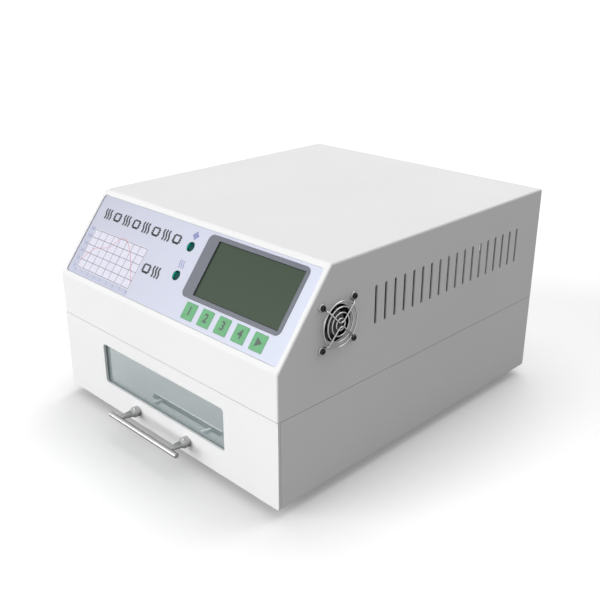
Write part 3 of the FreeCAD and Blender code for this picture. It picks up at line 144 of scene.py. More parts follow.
# Console print, in millimetres: X from the middle, S up the slope from the sheet's lower fold.
SHEET_EDGE_S = 4.55
PRINT_GAP = 0.02
PRINT_T = 0.03
CHART_X = (-121.0, -45.6)
CHART_S = (11.2, 46.5)
CHART_COLUMNS = 8
CHART_ROWS = 5
CHART_MARGIN = 0.9
STRIP_LEFT = 7.4
STRIP_LOW = 6.0
GRID_W = 0.46
CURVE_W = 0.5
CHART_LABEL = 3.7
CHART_LABEL_GAP = 3.2
TEMPERATURES = ("0", "50", "100", "150", "200", "250")
SIGN_ROW_X = (-115.0, -19.0)
SIGN_ROW_S = 62.6
SIGN_COUNT = 8
SIGN_PAIR = (-36.0, 32.0)
SIGN_PAIR_STEP = 12.5
SIGN_SIZE = 11.5
SIGN_STROKE = 1.9
LAMP_SIGN_RISE = 9.5
LAMP_SIGN_SIZE = 8.0
LAMP_SIGN_STROKE = 0.8
KEY_FIGURES = ("1", "2", "3", "4", "")
KEY_FIGURE_SIZE = 9.5
KEY_FIGURE_WEIGHT = 0.28
KEY_ARROW_SHIFT = 0.5
FIGURE_STEPS = 3

# The solder profile, in shares of the chart's width and height.
PROFILE = ((0.0, 0.14), (0.15, 0.54), (0.37, 0.7), (0.5, 1.0), (0.62, 1.0), (0.79, 0.71), (1.0, 0.16))
PROFILE_STEPS = 48

# Proportions of the signs, in shares of their size; a chip's legs are in shares of its half side and line.
WAVE_STEPS = 14
WAVE_SWING = 0.1
HEAT_WAVES = (-0.3, 0.0, 0.3)
HEAT_HEIGHT = 0.8
CHIP_HALF = 0.28
CHIP_REACH = 0.45
CHIP_LEG_STEP = 0.6
CHIP_LEG_W = 0.8
LEAVES = 4
LEAF_OUT = 0.25
LEAF_R = 0.19
LEAF_SIDES = 14
KEY_ARROW_R = 0.42
KEY_ARROW_SIDES = 3

# Fan guard, in millimetres, round the fan's middle. Its ears stand at the screws, EAR across and EAR up.
GUARD_RINGS = 4
GUARD_CORE_R = 4.4
GUARD_STEP = 4.2
GUARD_WIRE = 0.6
GUARD_RISE = 3.0
GUARD_OVER = 1.0
GUARD_BEND = 4.0
GUARD_BEND_STEPS = 8
RING_STEPS = 48
EAR = 16.0
EYE_R = 2.5
EYE_STEPS = 24
RAMP = (2.9, 4.4)
WIRE_SIDES = 10

# Screw heads, in millimetres. HEAD_FALL is how much of the dome's squared height is gone at the rim.
HEAD_R = 2.3
HEAD_H = 1.9
HEAD_SEAT = 2.0
HEAD_FALL = 0.75
HEAD_SIDES = 32
HEAD_RINGS = 9
CROSS = 1.4
CROSS_W = 0.3
CROSS_DEEP = 0.9
SCREWS = (
    ("guard_screws", (1, 0, 0), "black_screws"),
    ("exhaust_screws", (0, 1, 0), "black_screws"),
    ("case_screws", (0, 1, 0), "steel_screws"),
)
WELD = 1e-6


# Node trees
def add_node(tree, kind, inputs=None, **settings):
    """A new node, with its inputs set to values or linked to other nodes' outputs."""
    node = tree.nodes.new(kind)
    for key, value in settings.items():
        setattr(node, key, value)
    for key, value in (inputs or {}).items():
        if isinstance(value, bpy.types.NodeSocket):
            tree.links.new(value, node.inputs[key])
        else:
            node.inputs[key].default_value = value
    return node


def mix_colors(tree, factor, first, second, blend="MIX"):
    inputs = {"Factor": factor, "A": first, "B": second}
    return add_node(tree, "ShaderNodeMix", inputs, data_type="RGBA", blend_type=blend).outputs["Result"]


class Surface:
    """A material with a Principled shader and short ways to add nodes to it."""

    def __init__(self, name, **values):
        self.material = bpy.data.materials.new(name)
        self.material.use_nodes = True
        self.tree = self.material.node_tree
        self.shader = self.tree.nodes["Principled BSDF"]
        for socket, value in values.items():
            self.shader.inputs[socket.replace("_", " ")].default_value = value
        self.place = self.add("ShaderNodeTexCoord").outputs["Object"]

    def add(self, kind, inputs=None, **settings):
        return add_node(self.tree, kind, inputs, **settings)

    def feed(self, socket, output):
        """Links an output to one of the shader's own inputs."""
        self.tree.links.new(output, self.shader.inputs[socket])

    def parts(self, vector):
        """The X, Y and Z of a vector."""
        return self.add("ShaderNodeSeparateXYZ", {"Vector": vector}).outputs

    def normal(self):
        """The way that the surface faces."""
        return self.add("ShaderNodeNewGeometry").outputs["Normal"]

    def stretched(self, scale):
        """The object's own coordinates, stretched along its axes."""
        return self.add("ShaderNodeMapping", {"Vector": self.place, "Scale": scale}).outputs["Vector"]

    def noise(self, scale, detail=3.0, vector=None):
        inputs = {"Vector": vector or self.place, "Scale": scale, "Detail": detail}
        return self.add("ShaderNodeTexNoise", inputs).outputs["Fac"]

    def share(self, value, low, high):
        """Where a value lies between a low and a high one, from 0 to 1."""
        inputs = {"Value": value, "From Min": low, "From Max": high}
        return self.add("ShaderNodeMapRange", inputs).outputs["Result"]

    def ramp(self, factor, low, high, start=0.35, end=0.65):
        """One colour that turns into another. The usual start and end suit a noise."""
        node = self.add("ShaderNodeValToRGB", {"Fac": factor})
        stops = node.color_ramp.elements
        stops[0].position = start
        stops[1].position = end
        stops[0].color = low
        stops[1].color = high
        return node.outputs["Color"]

    def multiply(self, color, other, factor=1.0):
        """A colour darkened by another."""
        return mix_colors(self.tree, factor, color, other, "MULTIPLY")

    def color(self, output):
        self.feed("Base Color", output)

    def rough(self, factor, low, high):
        """Roughness that follows a noise."""
        inputs = {"Value": factor, "From Min": NOISE_LOW, "From Max": NOISE_HIGH}
        inputs.update({"To Min": low, "To Max": high})
        self.feed("Roughness", self.add("ShaderNodeMapRange", inputs).outputs["Result"])

    def bump(self, height, strength, depth=FINE_RELIEF, edge=0.0):
        """Fine relief, over edges that look rounded by the edge radius."""
        inputs = {"Height": height, "Strength": strength, "Distance": depth}
        if edge > 0:
            rounding = self.add("ShaderNodeBevel", {"Radius": edge}, samples=EDGE_SAMPLES)
            inputs["Normal"] = rounding.outputs["Normal"]
        self.feed("Normal", self.add("ShaderNodeBump", inputs).outputs["Normal"])


def shade(value):
    return (value, value, value, 1.0)


def around(color, stray):
    """Two colours a little darker and a little lighter than the given one."""
    low = tuple(channel * (1 - stray) for channel in color) + (1.0,)
    high = tuple(min(1.0, channel * (1 + stray)) for channel in color) + (1.0,)
    return low, high


# Surfaces
def mottled(name, color, stray, patch, rough, grain, relief, edge=0.0, **values):
    """A surface with soft patches of colour, uneven gloss and a fine grain."""
    surface = Surface(name, **values)
    patches = surface.noise(patch)
    surface.color(surface.ramp(patches, *around(color, stray)))
    fine = surface.noise(grain, 2.0)
    surface.rough(fine, *rough)
    surface.bump(fine, relief, GRAIN_RELIEF, edge)
    return surface


def brushed(name, color, along, rough):
    """Metal with fine lines along one axis."""
    surface = Surface(name, Metallic=1.0)
    scale = [BRUSH_ACROSS] * 3
    scale["XYZ".index(along)] = BRUSH_ALONG
    lines = surface.noise(1.0, 4.0, surface.stretched(scale))
    surface.color(surface.ramp(lines, *around(color, 0.07)))
    surface.rough(lines, *rough)
    surface.bump(lines, 0.05, edge=BRUSH_EDGE)
    return surface


def plated(name, low, high, rough):
    """Bright plating with a painted reflection, dark on faces that look down and bright on faces that look up, and
    painted shade on faces that look to the back.
    """
    surface = Surface(name, Metallic=1.0)
    parts = surface.parts(surface.normal())
    height = surface.share(parts["Z"], -1.0, 1.0)
    # Painted reflection: the base colour is darker where the surface faces down and brighter where it faces up.
    painted_reflection = surface.ramp(height, shade(low), shade(high), start=0.2, end=0.95)
    # Painted shade: faces that look to the back are darkened to under half their colour.
    painted_back_shade = surface.ramp(parts["Y"], shade(1.0), shade(0.45), start=0.0, end=0.12)
    surface.color(surface.multiply(painted_reflection, painted_back_shade))
    fine = surface.noise(1.0, 3.0, surface.stretched((25.0, 500.0, 500.0)))
    surface.rough(fine, *rough)
    surface.bump(fine, 0.01)
    return surface


def overlay_film():
    """Printed film that pales from the left to the right."""
    surface = Surface("overlay_film", Specular_IOR_Level=0.35)
    low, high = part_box("control_overlay")
    across = surface.share(surface.parts(surface.place)["X"], low.x, high.x)
    fade = surface.ramp(across, (0.55, 0.56, 0.665, 1.0), (0.69, 0.725, 0.85, 1.0), start=0.0, end=1.0)
    fine = surface.noise(2600.0, 2.0)
    specks = surface.ramp(fine, shade(0.96), shade(1.0))
    surface.color(surface.multiply(fade, specks, 0.5))
    surface.rough(fine, 0.42, 0.54)
    surface.bump(fine, 0.05)
    return surface


def display_pane():
    """Unlit display: grey-green, with the faint squares of its picture points."""
    surface = Surface("lcd_pane", Specular_IOR_Level=0.3)
    slope = math.atan2(UPWARD.z, UPWARD.y)
    laid = surface.add("ShaderNodeMapping", {"Vector": surface.place, "Rotation": (-slope, 0.0, 0.0)})
    squares = {
        "Vector": laid.outputs["Vector"],
        "Scale": 1.0,
        "Mortar Size": DOT_GAP,
        "Brick Width": DOT,
        "Row Height": DOT,
        "Color1": (0.035, 0.059, 0.033, 1.0),
        "Color2": (0.036, 0.060, 0.034, 1.0),
        "Mortar": (0.033, 0.057, 0.031, 1.0),
    }
    surface.color(surface.add("ShaderNodeTexBrick", squares, offset=0.0, squash=1.0).outputs["Color"])
    fine = surface.noise(500.0)
    surface.rough(fine, 0.3, 0.33)
    surface.bump(fine, 0.004)
    return surface


def lamp_lens():
    """Dark green lens in ribs, with painted light on the wall of its well, bright on the side that faces right."""
    surface = Surface("led_green", IOR=1.49, Specular_IOR_Level=0.12, Emission_Strength=0.3)
    ribs = surface.noise(1.0, 2.0, surface.stretched((1500.0, 150.0, 150.0)))
    lens = surface.ramp(ribs, (0.0, 0.02, 0.02, 1.0), (0.0, 0.075, 0.06, 1.0))
    # Painted light: wall faces that look right get a bright green, and the same colour feeds the glow, so this
    # painted light glows faintly too.
    rightward = surface.parts(surface.normal())["X"]
    wall = surface.ramp(rightward, shade(0.0), shade(1.0), start=0.62, end=0.95)
    both = mix_colors(surface.tree, wall, lens, (0.015, 0.6, 0.42, 1.0))
    surface.color(both)
    surface.feed("Emission Color", both)
    surface.rough(ribs, 0.3, 0.42)
    surface.bump(ribs, 0.03)
    return surface


def clear_pane():
    """Window pane: tinted and strongly mirroring, with faint smears in its gloss."""
    coat = {"Coat_Weight": 1.0, "Coat_IOR": 2.2, "Coat_Roughness": 0.02}
    surface = Surface("window_pane", IOR=1.45, Transmission_Weight=0.3, **coat)
    smears = surface.noise(1.0, 4.0, surface.stretched((18.0, 18.0, 60.0)))
    surface.color(surface.ramp(smears, (0.325, 0.4, 0.41, 1.0), (0.355, 0.43, 0.44, 1.0)))
    surface.rough(smears, 0.02, 0.05)
    surface.bump(smears, 0.01)
    return surface


def quartz():
    """Milky tubes, clouded along their length."""
    surface = Surface("heater_quartz", IOR=1.46, Transmission_Weight=0.55)
    cloud = surface.noise(1.0, 3.0, surface.stretched((30.0, 220.0, 220.0)))
    surface.color(surface.ramp(cloud, (0.72, 0.66, 0.58, 1.0), (0.84, 0.80, 0.74, 1.0)))
    surface.rough(cloud, 0.18, 0.32)
    surface.bump(cloud, 0.04, GRAIN_RELIEF)
    return surface


def wool():
    """Felted ceramic fibres."""
    surface = Surface("ceramic_wool", Sheen_Weight=0.3)
    fibres = surface.noise(1.0, 6.0, surface.stretched((260.0, 90.0, 420.0)))
    surface.color(surface.ramp(fibres, (0.70, 0.67, 0.58, 1.0), (0.88, 0.86, 0.80, 1.0)))
    surface.rough(fibres, 0.8, 0.95)
    surface.bump(fibres, 0.6, WOOL_RELIEF)
    return surface


def board():
    """Green solder mask with paler lines of copper under it."""
    surface = Surface("circuit_board", Coat_Weight=0.2)
    runs = {
        "Vector": surface.place,
        "Scale": 90.0,
        "Mortar Size": 0.06,
        "Color1": (0.012, 0.13, 0.045, 1.0),
        "Color2": (0.016, 0.16, 0.055, 1.0),
        "Mortar": (0.03, 0.24, 0.09, 1.0),
    }
    surface.color(surface.add("ShaderNodeTexBrick", runs, offset=0.5).outputs["Color"])
    fine = surface.noise(900.0)
    surface.rough(fine, 0.35, 0.5)
    surface.bump(fine, 0.05)
    return surface


def laminated():
    """Stacked core plates, seen as fine lines."""
    surface = Surface("core_iron", Metallic=0.4)
    inputs = {"Vector": surface.place, "Scale": 320.0}
    plates = surface.add("ShaderNodeTexWave", inputs, bands_direction="Y").outputs["Fac"]
    surface.color(surface.ramp(plates, shade(0.05), shade(0.12), start=0.1, end=0.9))
    surface.rough(plates, 0.4, 0.6)
    surface.bump(plates, 0.3, PLATE_RELIEF)
    return surface


def ink(name, color):
    return mottled(name, color, **INK).material


def slot_surfaces():
    """One finished surface for each material slot of the part."""
    surfaces = {
        "overlay_film": overlay_film(),
        "lcd_pane": display_pane(),
        "led_green": lamp_lens(),
        "circuit_board": board(),
        "window_pane": clear_pane(),
        "heater_quartz": quartz(),
        "ceramic_wool": wool(),
        "core_iron": laminated(),
    }
    for make, looks in ((mottled, MOTTLED), (brushed, BRUSHED), (plated, PLATED)):
        for name, look in looks.items():
            surfaces[name] = make(name, **look)
    return surfaces


# Directions on the console, which come from the way its keys travel.
def joint(name):
    return next(entry for entry in frame["joints"] if entry["name"] == name)


OUTWARD = -Vector(joint("key_1_press")["axis"]).normalized()
UPWARD = Vector((0.0, OUTWARD.z, -OUTWARD.y))
RIGHT = Vector((1.0, 0.0, 0.0))


def reach(node, direction):
    """How far a node goes along a direction, as its lowest and highest value."""
    values = [direction.dot(vertex.co) for vertex in frame["nodes"][node].data.vertices]
    return min(values), max(values)


def console_matrix(face):
    """From X, S and height over the face, in millimetres, to the frame."""
    low = reach("control_overlay", UPWARD)[0]
    top = reach(face, OUTWARD)[1]
    origin = UPWARD * (low - SHEET_EDGE_S * MM) + OUTWARD * top
    turn = Matrix((RIGHT * MM, UPWARD * MM, OUTWARD * MM)).transposed().to_4x4()
    return Matrix.Translation(origin) @ turn


def console_place(node):
    """The X and S of a node's middle."""
    rise = sum(reach(node, UPWARD)) / 2 - reach("control_overlay", UPWARD)[0]
    return sum(reach(node, RIGHT)) / 2 / MM, rise / MM + SHEET_EDGE_S


# Meshes
def piece(name, mesh, material, body, smooth=False):
    """A new piece in the frame that moves with a body."""
    obj = bpy.data.objects.new(name, mesh)
    bpy.context.scene.collection.objects.link(obj)
    mesh.materials.append(material)
    for polygon in mesh.polygons:
        polygon.use_smooth = smooth
    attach(obj, body)
    return obj


def finished(form, name):
    """The mesh of a form, with its faces turned outward."""
    mesh = bpy.data.meshes.new(name)
    bmesh.ops.recalc_face_normals(form, faces=form.faces)
    form.to_mesh(mesh)
    form.free()
    return mesh


def ring_points(x, y, radius, count):
    """Evenly spaced places on a circle, from its right side."""
    turns = [2 * math.pi * index / count for index in range(count)]
    return [(x + radius * math.cos(turn), y + radius * math.sin(turn)) for turn in turns]


def raise_shape(form, points, matrix):
    """Adds a flat outline as a thin raised shape, as print lies on film."""
    rings = []
    for height in (PRINT_GAP, PRINT_GAP + PRINT_T):
        rings.append([form.verts.new(matrix @ Vector((x, y, height))) for x, y in points])
    lower, upper = rings
    count = len(points)
    form.faces.new(upper)
    form.faces.new(list(reversed(lower)))
    for index in range(count):
        after = (index + 1) % count
        form.faces.new((lower[index], lower[after], upper[after], upper[index]))


def stroke(form, points, width, matrix):
    """Adds a line of a given width through the points."""
    half = width / 2
    left = []
    right = []
    for index, (x, y) in enumerate(points):
        before = points[max(0, index - 1)]
        after = points[min(len(points) - 1, index + 1)]
        way = Vector((after[0] - before[0], after[1] - before[1])).normalized()
        left.append((x - way.y * half, y + way.x * half))
        right.append((x + way.y * half, y - way.x * half))
    for index in range(len(points) - 1):
        corners = [right[index], right[index + 1], left[index + 1], left[index]]
        raise_shape(form, corners, matrix)


def written(form, text, size, x, y, matrix, weight=0.0):
    """Adds figures in the plain built-in letter form, centred on a place and thickened by a weight."""
    curve = bpy.data.curves.new("figures", "FONT")
    curve.body = text
    curve.size = size
    curve.align_x = "CENTER"
    curve.align_y = "CENTER"
    curve.resolution_u = FIGURE_STEPS
    curve.offset = weight
    holder = bpy.data.objects.new("figures", curve)
    bpy.context.scene.collection.objects.link(holder)
    bpy.context.view_layer.update()
    flat = bpy.data.meshes.new_from_object(holder)
    bpy.data.objects.remove(holder)
    bpy.data.curves.remove(curve)
    flat.transform(matrix @ Matrix.Translation((x, y, PRINT_GAP + PRINT_T)))
    form.from_mesh(flat)
    bpy.data.meshes.remove(flat)


def between(p, q, r, s, t):
    """A value at share t of the way from q to r, on a smooth line that comes from p and goes to s."""
    square = 2 * p - 5 * q + 4 * r - s
    cube = 3 * q - p - 3 * r + s
    return 0.5 * (2 * q + (r - p) * t + square * t**2 + cube * t**3)


def spline(points, steps):
    """A smooth line through the points."""
    ends = [points[0]] + list(points) + [points[-1]]
    line = []
    spans = len(points) - 1
    for step in range(steps + 1):
        along = step / steps * spans
        index = min(int(along), spans - 1)
        near = ends[index : index + 4]
        line.append(tuple(between(*values, along - index) for values in zip(*near)))
    return line


def tube(form, path, radius, closed=False):
    """Adds a round wire along a path of points."""
    count = len(path)
    rings = []
    side = None
    for index, point in enumerate(path):
        before = path[index - 1] if closed or index > 0 else point
        after = path[(index + 1) % count] if closed or index < count - 1 else point
        way = (after - before).normalized()
        if side is None:
            side = way.orthogonal().normalized()
        side = (side - way * side.dot(way)).normalized()
        up = way.cross(side)
        places = ring_points(0.0, 0.0, radius, WIRE_SIDES)
        rings.append([form.verts.new(point + side * x + up * y) for x, y in places])
    last = count if closed else count - 1
    for index in range(last):
        here = rings[index]
        there = rings[(index + 1) % count]
        for k in range(WIRE_SIDES):
            after = (k + 1) % WIRE_SIDES
            form.faces.new((here[k], here[after], there[after], there[k]))
    if not closed:
        form.faces.new(list(reversed(rings[0])))
        form.faces.new(rings[-1])


# Console print
def patch(form, left, right, low, high, matrix):
    raise_shape(form, [(left, low), (right, low), (right, high), (left, high)], matrix)


def chart_place(across, up):
    """The X and S of a place on the chart, from shares of its width and height."""
    x = CHART_X[0] + (CHART_X[1] - CHART_X[0]) * across
    s = CHART_S[0] + (CHART_S[1] - CHART_S[0]) * up
    return x, s


def chart_panel(matrix):
    """The pale ground under the chart."""
    form = bmesh.new()
    (left, right), (low, high) = CHART_X, CHART_S
    edge = CHART_MARGIN
    patch(form, left - edge, right + edge, low - edge, high + edge, matrix)
    return finished(form, "chart_panel")


def chart_strips(matrix):
    """The tinted strips that the chart's figures stand on."""
    form = bmesh.new()
    (left, right), (low, high) = CHART_X, CHART_S
    edge = CHART_MARGIN
    patch(form, left - STRIP_LEFT, left - edge, low - edge, high + edge, matrix)
    patch(form, left - STRIP_LEFT, right + edge, low - STRIP_LOW, low - edge, matrix)
    return finished(form, "chart_strips")


def chart_figures(matrix):
    """Temperatures up the chart's side and plain numbers along its foot."""
    form = bmesh.new()
    for row, text in enumerate(TEMPERATURES):
        x, s = chart_place(0, row / CHART_ROWS)
        written(form, text, CHART_LABEL, x - CHART_LABEL_GAP - CHART_MARGIN, s, matrix)
    for column in range(CHART_COLUMNS + 1):
        x, s = chart_place(column / CHART_COLUMNS, 0)
        written(form, str(column), CHART_LABEL, x, s - CHART_LABEL_GAP, matrix)
    return finished(form, "chart_figures")


def chart_grid(matrix):
    form = bmesh.new()
    for column in range(CHART_COLUMNS + 1):
        across = column / CHART_COLUMNS
        stroke(form, [chart_place(across, 0), chart_place(across, 1)], GRID_W, matrix)
    for row in range(CHART_ROWS + 1):
        up = row / CHART_ROWS
        stroke(form, [chart_place(0, up), chart_place(1, up)], GRID_W, matrix)
    return finished(form, "chart_grid")


def chart_curve(matrix):
    form = bmesh.new()
    places = [chart_place(*point) for point in spline(PROFILE, PROFILE_STEPS)]
    stroke(form, places, CURVE_W, matrix)
    return finished(form, "chart_curve")


def heat_sign(form, x, y, size, width, matrix):
    """Rising waves, the usual sign for heat."""
    tall = size * HEAT_HEIGHT
    for shift in HEAT_WAVES:
        line = []
        for step in range(WAVE_STEPS + 1):
            rise = step / WAVE_STEPS
            swing = math.sin(2 * math.pi * rise) * tall * WAVE_SWING
            line.append((x + shift * size + swing, y + (rise - 0.5) * tall))
        stroke(form, line, width, matrix)


def chip_sign(form, x, y, size, width, matrix):
    """A square chip with legs on two sides."""
    half = size * CHIP_HALF
    square = [(x - half, y - half), (x + half, y - half), (x + half, y + half), (x - half, y + half)]
    stroke(form, square + square[:2], width, matrix)
    for row in (-1, 0, 1):
        rise = y + row * half * CHIP_LEG_STEP
        for side in (-1, 1):
            leg = [(x + side * half, rise), (x + side * size * CHIP_REACH, rise)]
            stroke(form, leg, width * CHIP_LEG_W, matrix)


def fan_sign(form, x, y, size, width, matrix):
    """Leaves round a hub whose radius is the line's width."""
    raise_shape(form, ring_points(x, y, width, LEAF_SIDES), matrix)
    for middle in ring_points(x, y, size * LEAF_OUT, LEAVES):
        raise_shape(form, ring_points(*middle, size * LEAF_R, LEAF_SIDES), matrix)


def title_marks(matrix):
    """A row of plain signs for heat and chips, and a pair of them beside the chart."""
    form = bmesh.new()
    first, last = SIGN_ROW_X
    step = (last - first) / (SIGN_COUNT - 1)
    for index in range(SIGN_COUNT):
        sign = heat_sign if index % 2 == 0 else chip_sign
        sign(form, first + index * step, SIGN_ROW_S, SIGN_SIZE, SIGN_STROKE, matrix)
    x, s = SIGN_PAIR
    chip_sign(form, x, s, SIGN_SIZE, SIGN_STROKE, matrix)
    heat_sign(form, x + SIGN_PAIR_STEP, s, SIGN_SIZE, SIGN_STROKE, matrix)
    return finished(form, "title_marks")


def lamp_marks(matrix):
    """A fan sign over the upper lamp and a heat sign over the lower one."""
    form = bmesh.new()
    for node, sign in (("upper_led", fan_sign), ("lower_led", heat_sign)):
        x, s = console_place(node)
        sign(form, x, s + LAMP_SIGN_RISE, LAMP_SIGN_SIZE, LAMP_SIGN_STROKE, matrix)
    return finished(form, "lamp_marks")


def key_sign(name, text):
    """A plain figure on a key, or the triangle that starts a run."""
    matrix = console_matrix(name)
    x, s = console_place(name)
    form = bmesh.new()
    if text:
        written(form, text, KEY_FIGURE_SIZE, x, s, matrix, KEY_FIGURE_WEIGHT)
    else:
        arrow = ring_points(x - KEY_ARROW_SHIFT, s, KEY_FIGURE_SIZE * KEY_ARROW_R, KEY_ARROW_SIDES)
        raise_shape(form, arrow, matrix)
    return finished(form, name + "_sign")


def console_print():
    """All print, in layers: the grounds, the grid and figures on them, and the curve on top."""
    ground = console_matrix("control_overlay")
    layer = Matrix.Translation((0, 0, PRINT_T + PRINT_GAP))
    pale = ink("print_pale", (0.70, 0.69, 0.80))
    tint = ink("print_tint", (0.5, 0.525, 0.65))
    violet = ink("print_violet", (0.24, 0.26, 0.5))
    grey = ink("print_grey", (0.17, 0.17, 0.21))
    dark = ink("print_dark", (0.03, 0.03, 0.04))
    red = ink("print_red", (0.64, 0.3, 0.36))
    green = ink("print_green", (0.07, 0.10, 0.08))
    piece("chart_panel", chart_panel(ground), pale, "cabinet")
    piece("chart_strips", chart_strips(ground), tint, "cabinet")
    piece("chart_figures", chart_figures(ground @ layer), violet, "cabinet")
    piece("chart_grid", chart_grid(ground @ layer), grey, "cabinet")
    piece("chart_curve", chart_curve(ground @ layer @ layer), red, "cabinet")
    piece("title_marks", title_marks(ground), dark, "cabinet")
    piece("lamp_marks", lamp_marks(ground), violet, "cabinet")
    for index, text in enumerate(KEY_FIGURES):
        key = "key_" + str(index + 1)
        piece(key + "_sign", key_sign(key, text), green, key)


# Fan guard and screw heads
def facing(axis, at):
    """From millimetres along a wall, with Z out of it, to the frame."""
    turn = Vector(axis).to_track_quat("Z", "Y").to_matrix().to_4x4()
    return Matrix.Translation(at) @ turn @ Matrix.Scale(MM, 4)


def guard_path(ear_sign):
    """One bent wire from ear to ear, over the rings and rounded near the middle."""
    high = GUARD_RISE + GUARD_OVER
    step = math.sqrt(0.5)
    bend = EAR * math.sqrt(2) - GUARD_BEND
    rise = GUARD_BEND * math.sqrt(2)

    def at(distance, height, side):
        place = EAR - distance * step
        return Vector((side * place, ear_sign * place, height))

    path = [at(RAMP[0], GUARD_WIRE, -1), at(RAMP[1], high, -1), at(bend, high, -1)]
    for turn in range(1, GUARD_BEND_STEPS):
        angle = math.pi / 4 * (2 * turn / GUARD_BEND_STEPS - 1)
        across = GUARD_BEND * math.sin(angle)
        path.append(Vector((across, ear_sign * (rise - GUARD_BEND * math.cos(angle)), high)))
    path += [at(bend, high, 1), at(RAMP[1], high, 1), at(RAMP[0], GUARD_WIRE, 1)]
    return path


def round_wire(x, y, radius, height, steps):
    return [Vector((px, py, height)) for px, py in ring_points(x, y, radius, steps)]


def fan_guard(material):
    """Round wires in place of the solid's six-sided ones."""
    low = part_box("fan_guard")[0]
    hub = Vector(joint("side_fan_spin")["pos_m"])
    matrix = facing((1, 0, 0), Vector((low.x, hub.y, hub.z)))
    form = bmesh.new()
    for index in range(GUARD_RINGS):
        ring = round_wire(0.0, 0.0, GUARD_CORE_R + index * GUARD_STEP, GUARD_RISE, RING_STEPS)
        tube(form, ring, GUARD_WIRE, closed=True)
    for sign in (-1, 1):
        tube(form, guard_path(sign), GUARD_WIRE)
    for x in (-EAR, EAR):
        for y in (-EAR, EAR):
            tube(form, round_wire(x, y, EYE_R, GUARD_WIRE, EYE_STEPS), GUARD_WIRE, closed=True)
    bmesh.ops.transform(form, matrix=matrix, verts=form.verts)
    guard = piece("guard_wires", finished(form, "guard_wires"), material, "cabinet", True)
    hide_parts("fan_guard")


def pan_head(form, matrix):
    """Adds a domed screw head with a cross recess."""
    rings = []
    for step in range(1, HEAD_RINGS + 1):
        radius = HEAD_R * math.sqrt(step / HEAD_RINGS)
        dome = HEAD_H * math.sqrt(1 - (radius / HEAD_R) ** 2 * HEAD_FALL)
        ring = []
        for x, y in ring_points(0.0, 0.0, radius, HEAD_SIDES):
            inside = max(abs(x), abs(y)) < CROSS and min(abs(x), abs(y)) < CROSS_W
            height = dome - CROSS_DEEP if inside else dome
            ring.append(form.verts.new(matrix @ Vector((x, y, height))))
        rings.append(ring)
    rim = ring_points(0.0, 0.0, HEAD_R, HEAD_SIDES)
    rings.append([form.verts.new(matrix @ Vector((x, y, 0.0))) for x, y in rim])
    for inner, outer in zip(rings, rings[1:]):
        for turn in range(HEAD_SIDES):
            after = (turn + 1) % HEAD_SIDES
            form.faces.new((inner[turn], outer[turn], outer[after], inner[after]))
    form.faces.new(rings[0])
    form.faces.new(list(reversed(rings[-1])))


def islands(node):
    """The separate solids of a node, each as its lowest and highest corner."""
    form = bmesh.new()
    form.from_mesh(frame["nodes"][node].data)
    bmesh.ops.remove_doubles(form, verts=form.verts, dist=WELD)
    left = set(form.verts)
    boxes = []
    while left:
        group = [left.pop()]
        for vertex in group:
            for edge in vertex.link_edges:
                other = edge.other_vert(vertex)
                if other in left:
                    left.discard(other)
                    group.append(other)
        low = Vector([min(v.co[i] for v in group) for i in range(3)])
        high = Vector([max(v.co[i] for v in group) for i in range(3)])
        boxes.append((low, high))
    form.free()
    return boxes


def screw_heads(node, axis, material):
    """Domed cross heads in place of a node's plain ones."""
    form = bmesh.new()
    way = Vector(axis)
    for low, high in islands(node):
        middle = (low + high) / 2
        top = max(way.dot(low), way.dot(high))
        seat = middle + way * (top - way.dot(middle) - HEAD_SEAT * MM)
        pan_head(form, facing(axis, seat))
    heads = piece(node + "_heads", finished(form, node + "_heads"), material, "cabinet")
    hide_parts(node)


# Stage
def make_lamp(name, level, turn, rise, spread):
    """A far lamp: its turn is the way that it shines on the plan, from the back to the right."""
    data = bpy.data.lights.new(name, "SUN")
    data.energy = level * math.pi
    data.angle = math.radians(spread)
    lamp = bpy.data.objects.new(name, data)
    turn = math.radians(turn)
    rise = math.radians(rise)
    aim = Vector((math.sin(turn) * math.cos(rise), math.cos(turn) * math.cos(rise), -math.sin(rise)))
    lamp.rotation_euler = aim.to_track_quat("-Z", "Y").to_euler()
    bpy.context.scene.collection.objects.link(lamp)


def seen_directly(tree):
    """1 for what the camera sees, also in gloss and through glass, and 0 for light that bounces."""
    path = add_node(tree, "ShaderNodeLightPath").outputs
    seen = path["Is Camera Ray"]
    for ray in ("Is Glossy Ray", "Is Transmission Ray"):
        seen = add_node(tree, "ShaderNodeMath", {0: seen, 1: path[ray]}, operation="MAXIMUM").outputs[0]
    return seen


def make_world():
    """White to the camera, and the sky's level to everything else."""
    world = bpy.data.worlds.new("studio")
    bpy.context.scene.world = world
    world.use_nodes = True
    tree = world.node_tree
    inputs = {"Value": seen_directly(tree), "To Min": SKY_LEVEL, "To Max": 1.0}
    level = add_node(tree, "ShaderNodeMapRange", inputs)
    back = tree.nodes["Background"]
    back.inputs["Color"].default_value = shade(1.0)
    tree.links.new(level.outputs["Result"], back.inputs["Strength"])


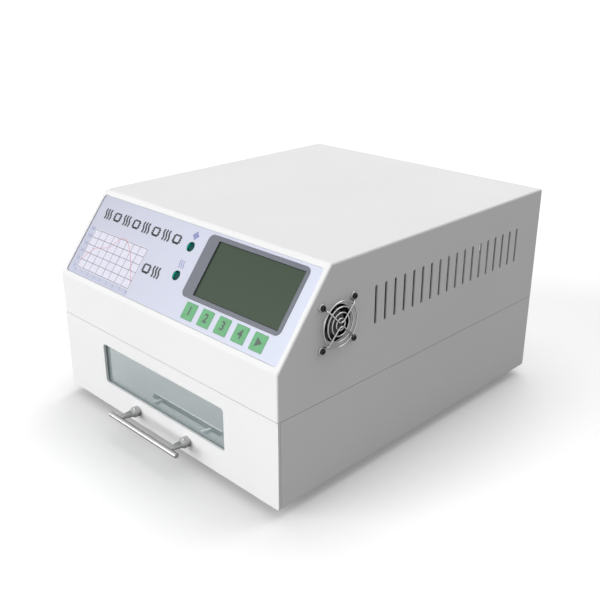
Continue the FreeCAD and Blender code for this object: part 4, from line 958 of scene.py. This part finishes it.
def floor_paper():
    """Paper, white and softly shaded near the part for the camera, and greyer for light that bounces."""
    material = bpy.data.materials.new("studio_floor")
    material.use_nodes = True
    tree = material.node_tree
    tree.nodes.clear()
    seen = seen_directly(tree)
    contact = add_node(tree, "ShaderNodeAmbientOcclusion", {"Distance": CONTACT_REACH, "Color": FLOOR_COLOR})
    shaded = mix_colors(tree, CONTACT_SHADE, FLOOR_COLOR, contact.outputs["Color"])
    paper = add_node(tree, "ShaderNodeBsdfDiffuse", {"Color": mix_colors(tree, seen, FLOOR_BOUNCE, shaded)})
    strength = add_node(tree, "ShaderNodeMath", {0: seen, 1: FLOOR_LIFT}, operation="MULTIPLY")
    lift = add_node(tree, "ShaderNodeEmission", {"Strength": strength.outputs[0]})
    both = add_node(tree, "ShaderNodeAddShader", {0: paper.outputs["BSDF"], 1: lift.outputs["Emission"]})
    add_node(tree, "ShaderNodeOutputMaterial", {"Surface": both.outputs["Shader"]})
    return material


def make_floor():
    half = FLOOR_SIZE / 2
    mesh = bpy.data.meshes.new("floor")
    corners = [(-half, -half, 0), (half, -half, 0), (half, half, 0), (-half, half, 0)]
    mesh.from_pydata(corners, [], [(0, 1, 2, 3)])
    mesh.materials.append(floor_paper())
    floor = bpy.data.objects.new("floor", mesh)
    bpy.context.scene.collection.objects.link(floor)


def make_camera():
    data = bpy.data.cameras.new("camera")
    data.lens = CAMERA_LENS
    data.sensor_width = CAMERA_SENSOR
    camera = bpy.data.objects.new("camera", data)
    camera.location = CAMERA_AT
    camera.rotation_euler = (CAMERA_TARGET - CAMERA_AT).to_track_quat("-Z", "Y").to_euler()
    bpy.context.scene.collection.objects.link(camera)
    bpy.context.scene.camera = camera


def dress(surfaces):
    """Gives every CAD node the surface of its slot."""
    for entry in frame["record"]["subparts"]:
        mesh = frame["nodes"][entry["node"]].data
        mesh.materials.clear()
        mesh.materials.append(surfaces[entry["material_slot"]].material)


def build():
    surfaces = slot_surfaces()
    dress(surfaces)
    console_print()
    fan_guard(surfaces["bright_wire"].material)
    for node, axis, slot in SCREWS:
        screw_heads(node, axis, surfaces[slot].material)
    make_camera()
    make_world()
    make_floor()
    make_lamp("front_lamp", **FRONT_LAMP)
    make_lamp("rear_lamp", **REAR_LAMP)
    bpy.context.scene.view_settings.view_transform = "Standard"


build()
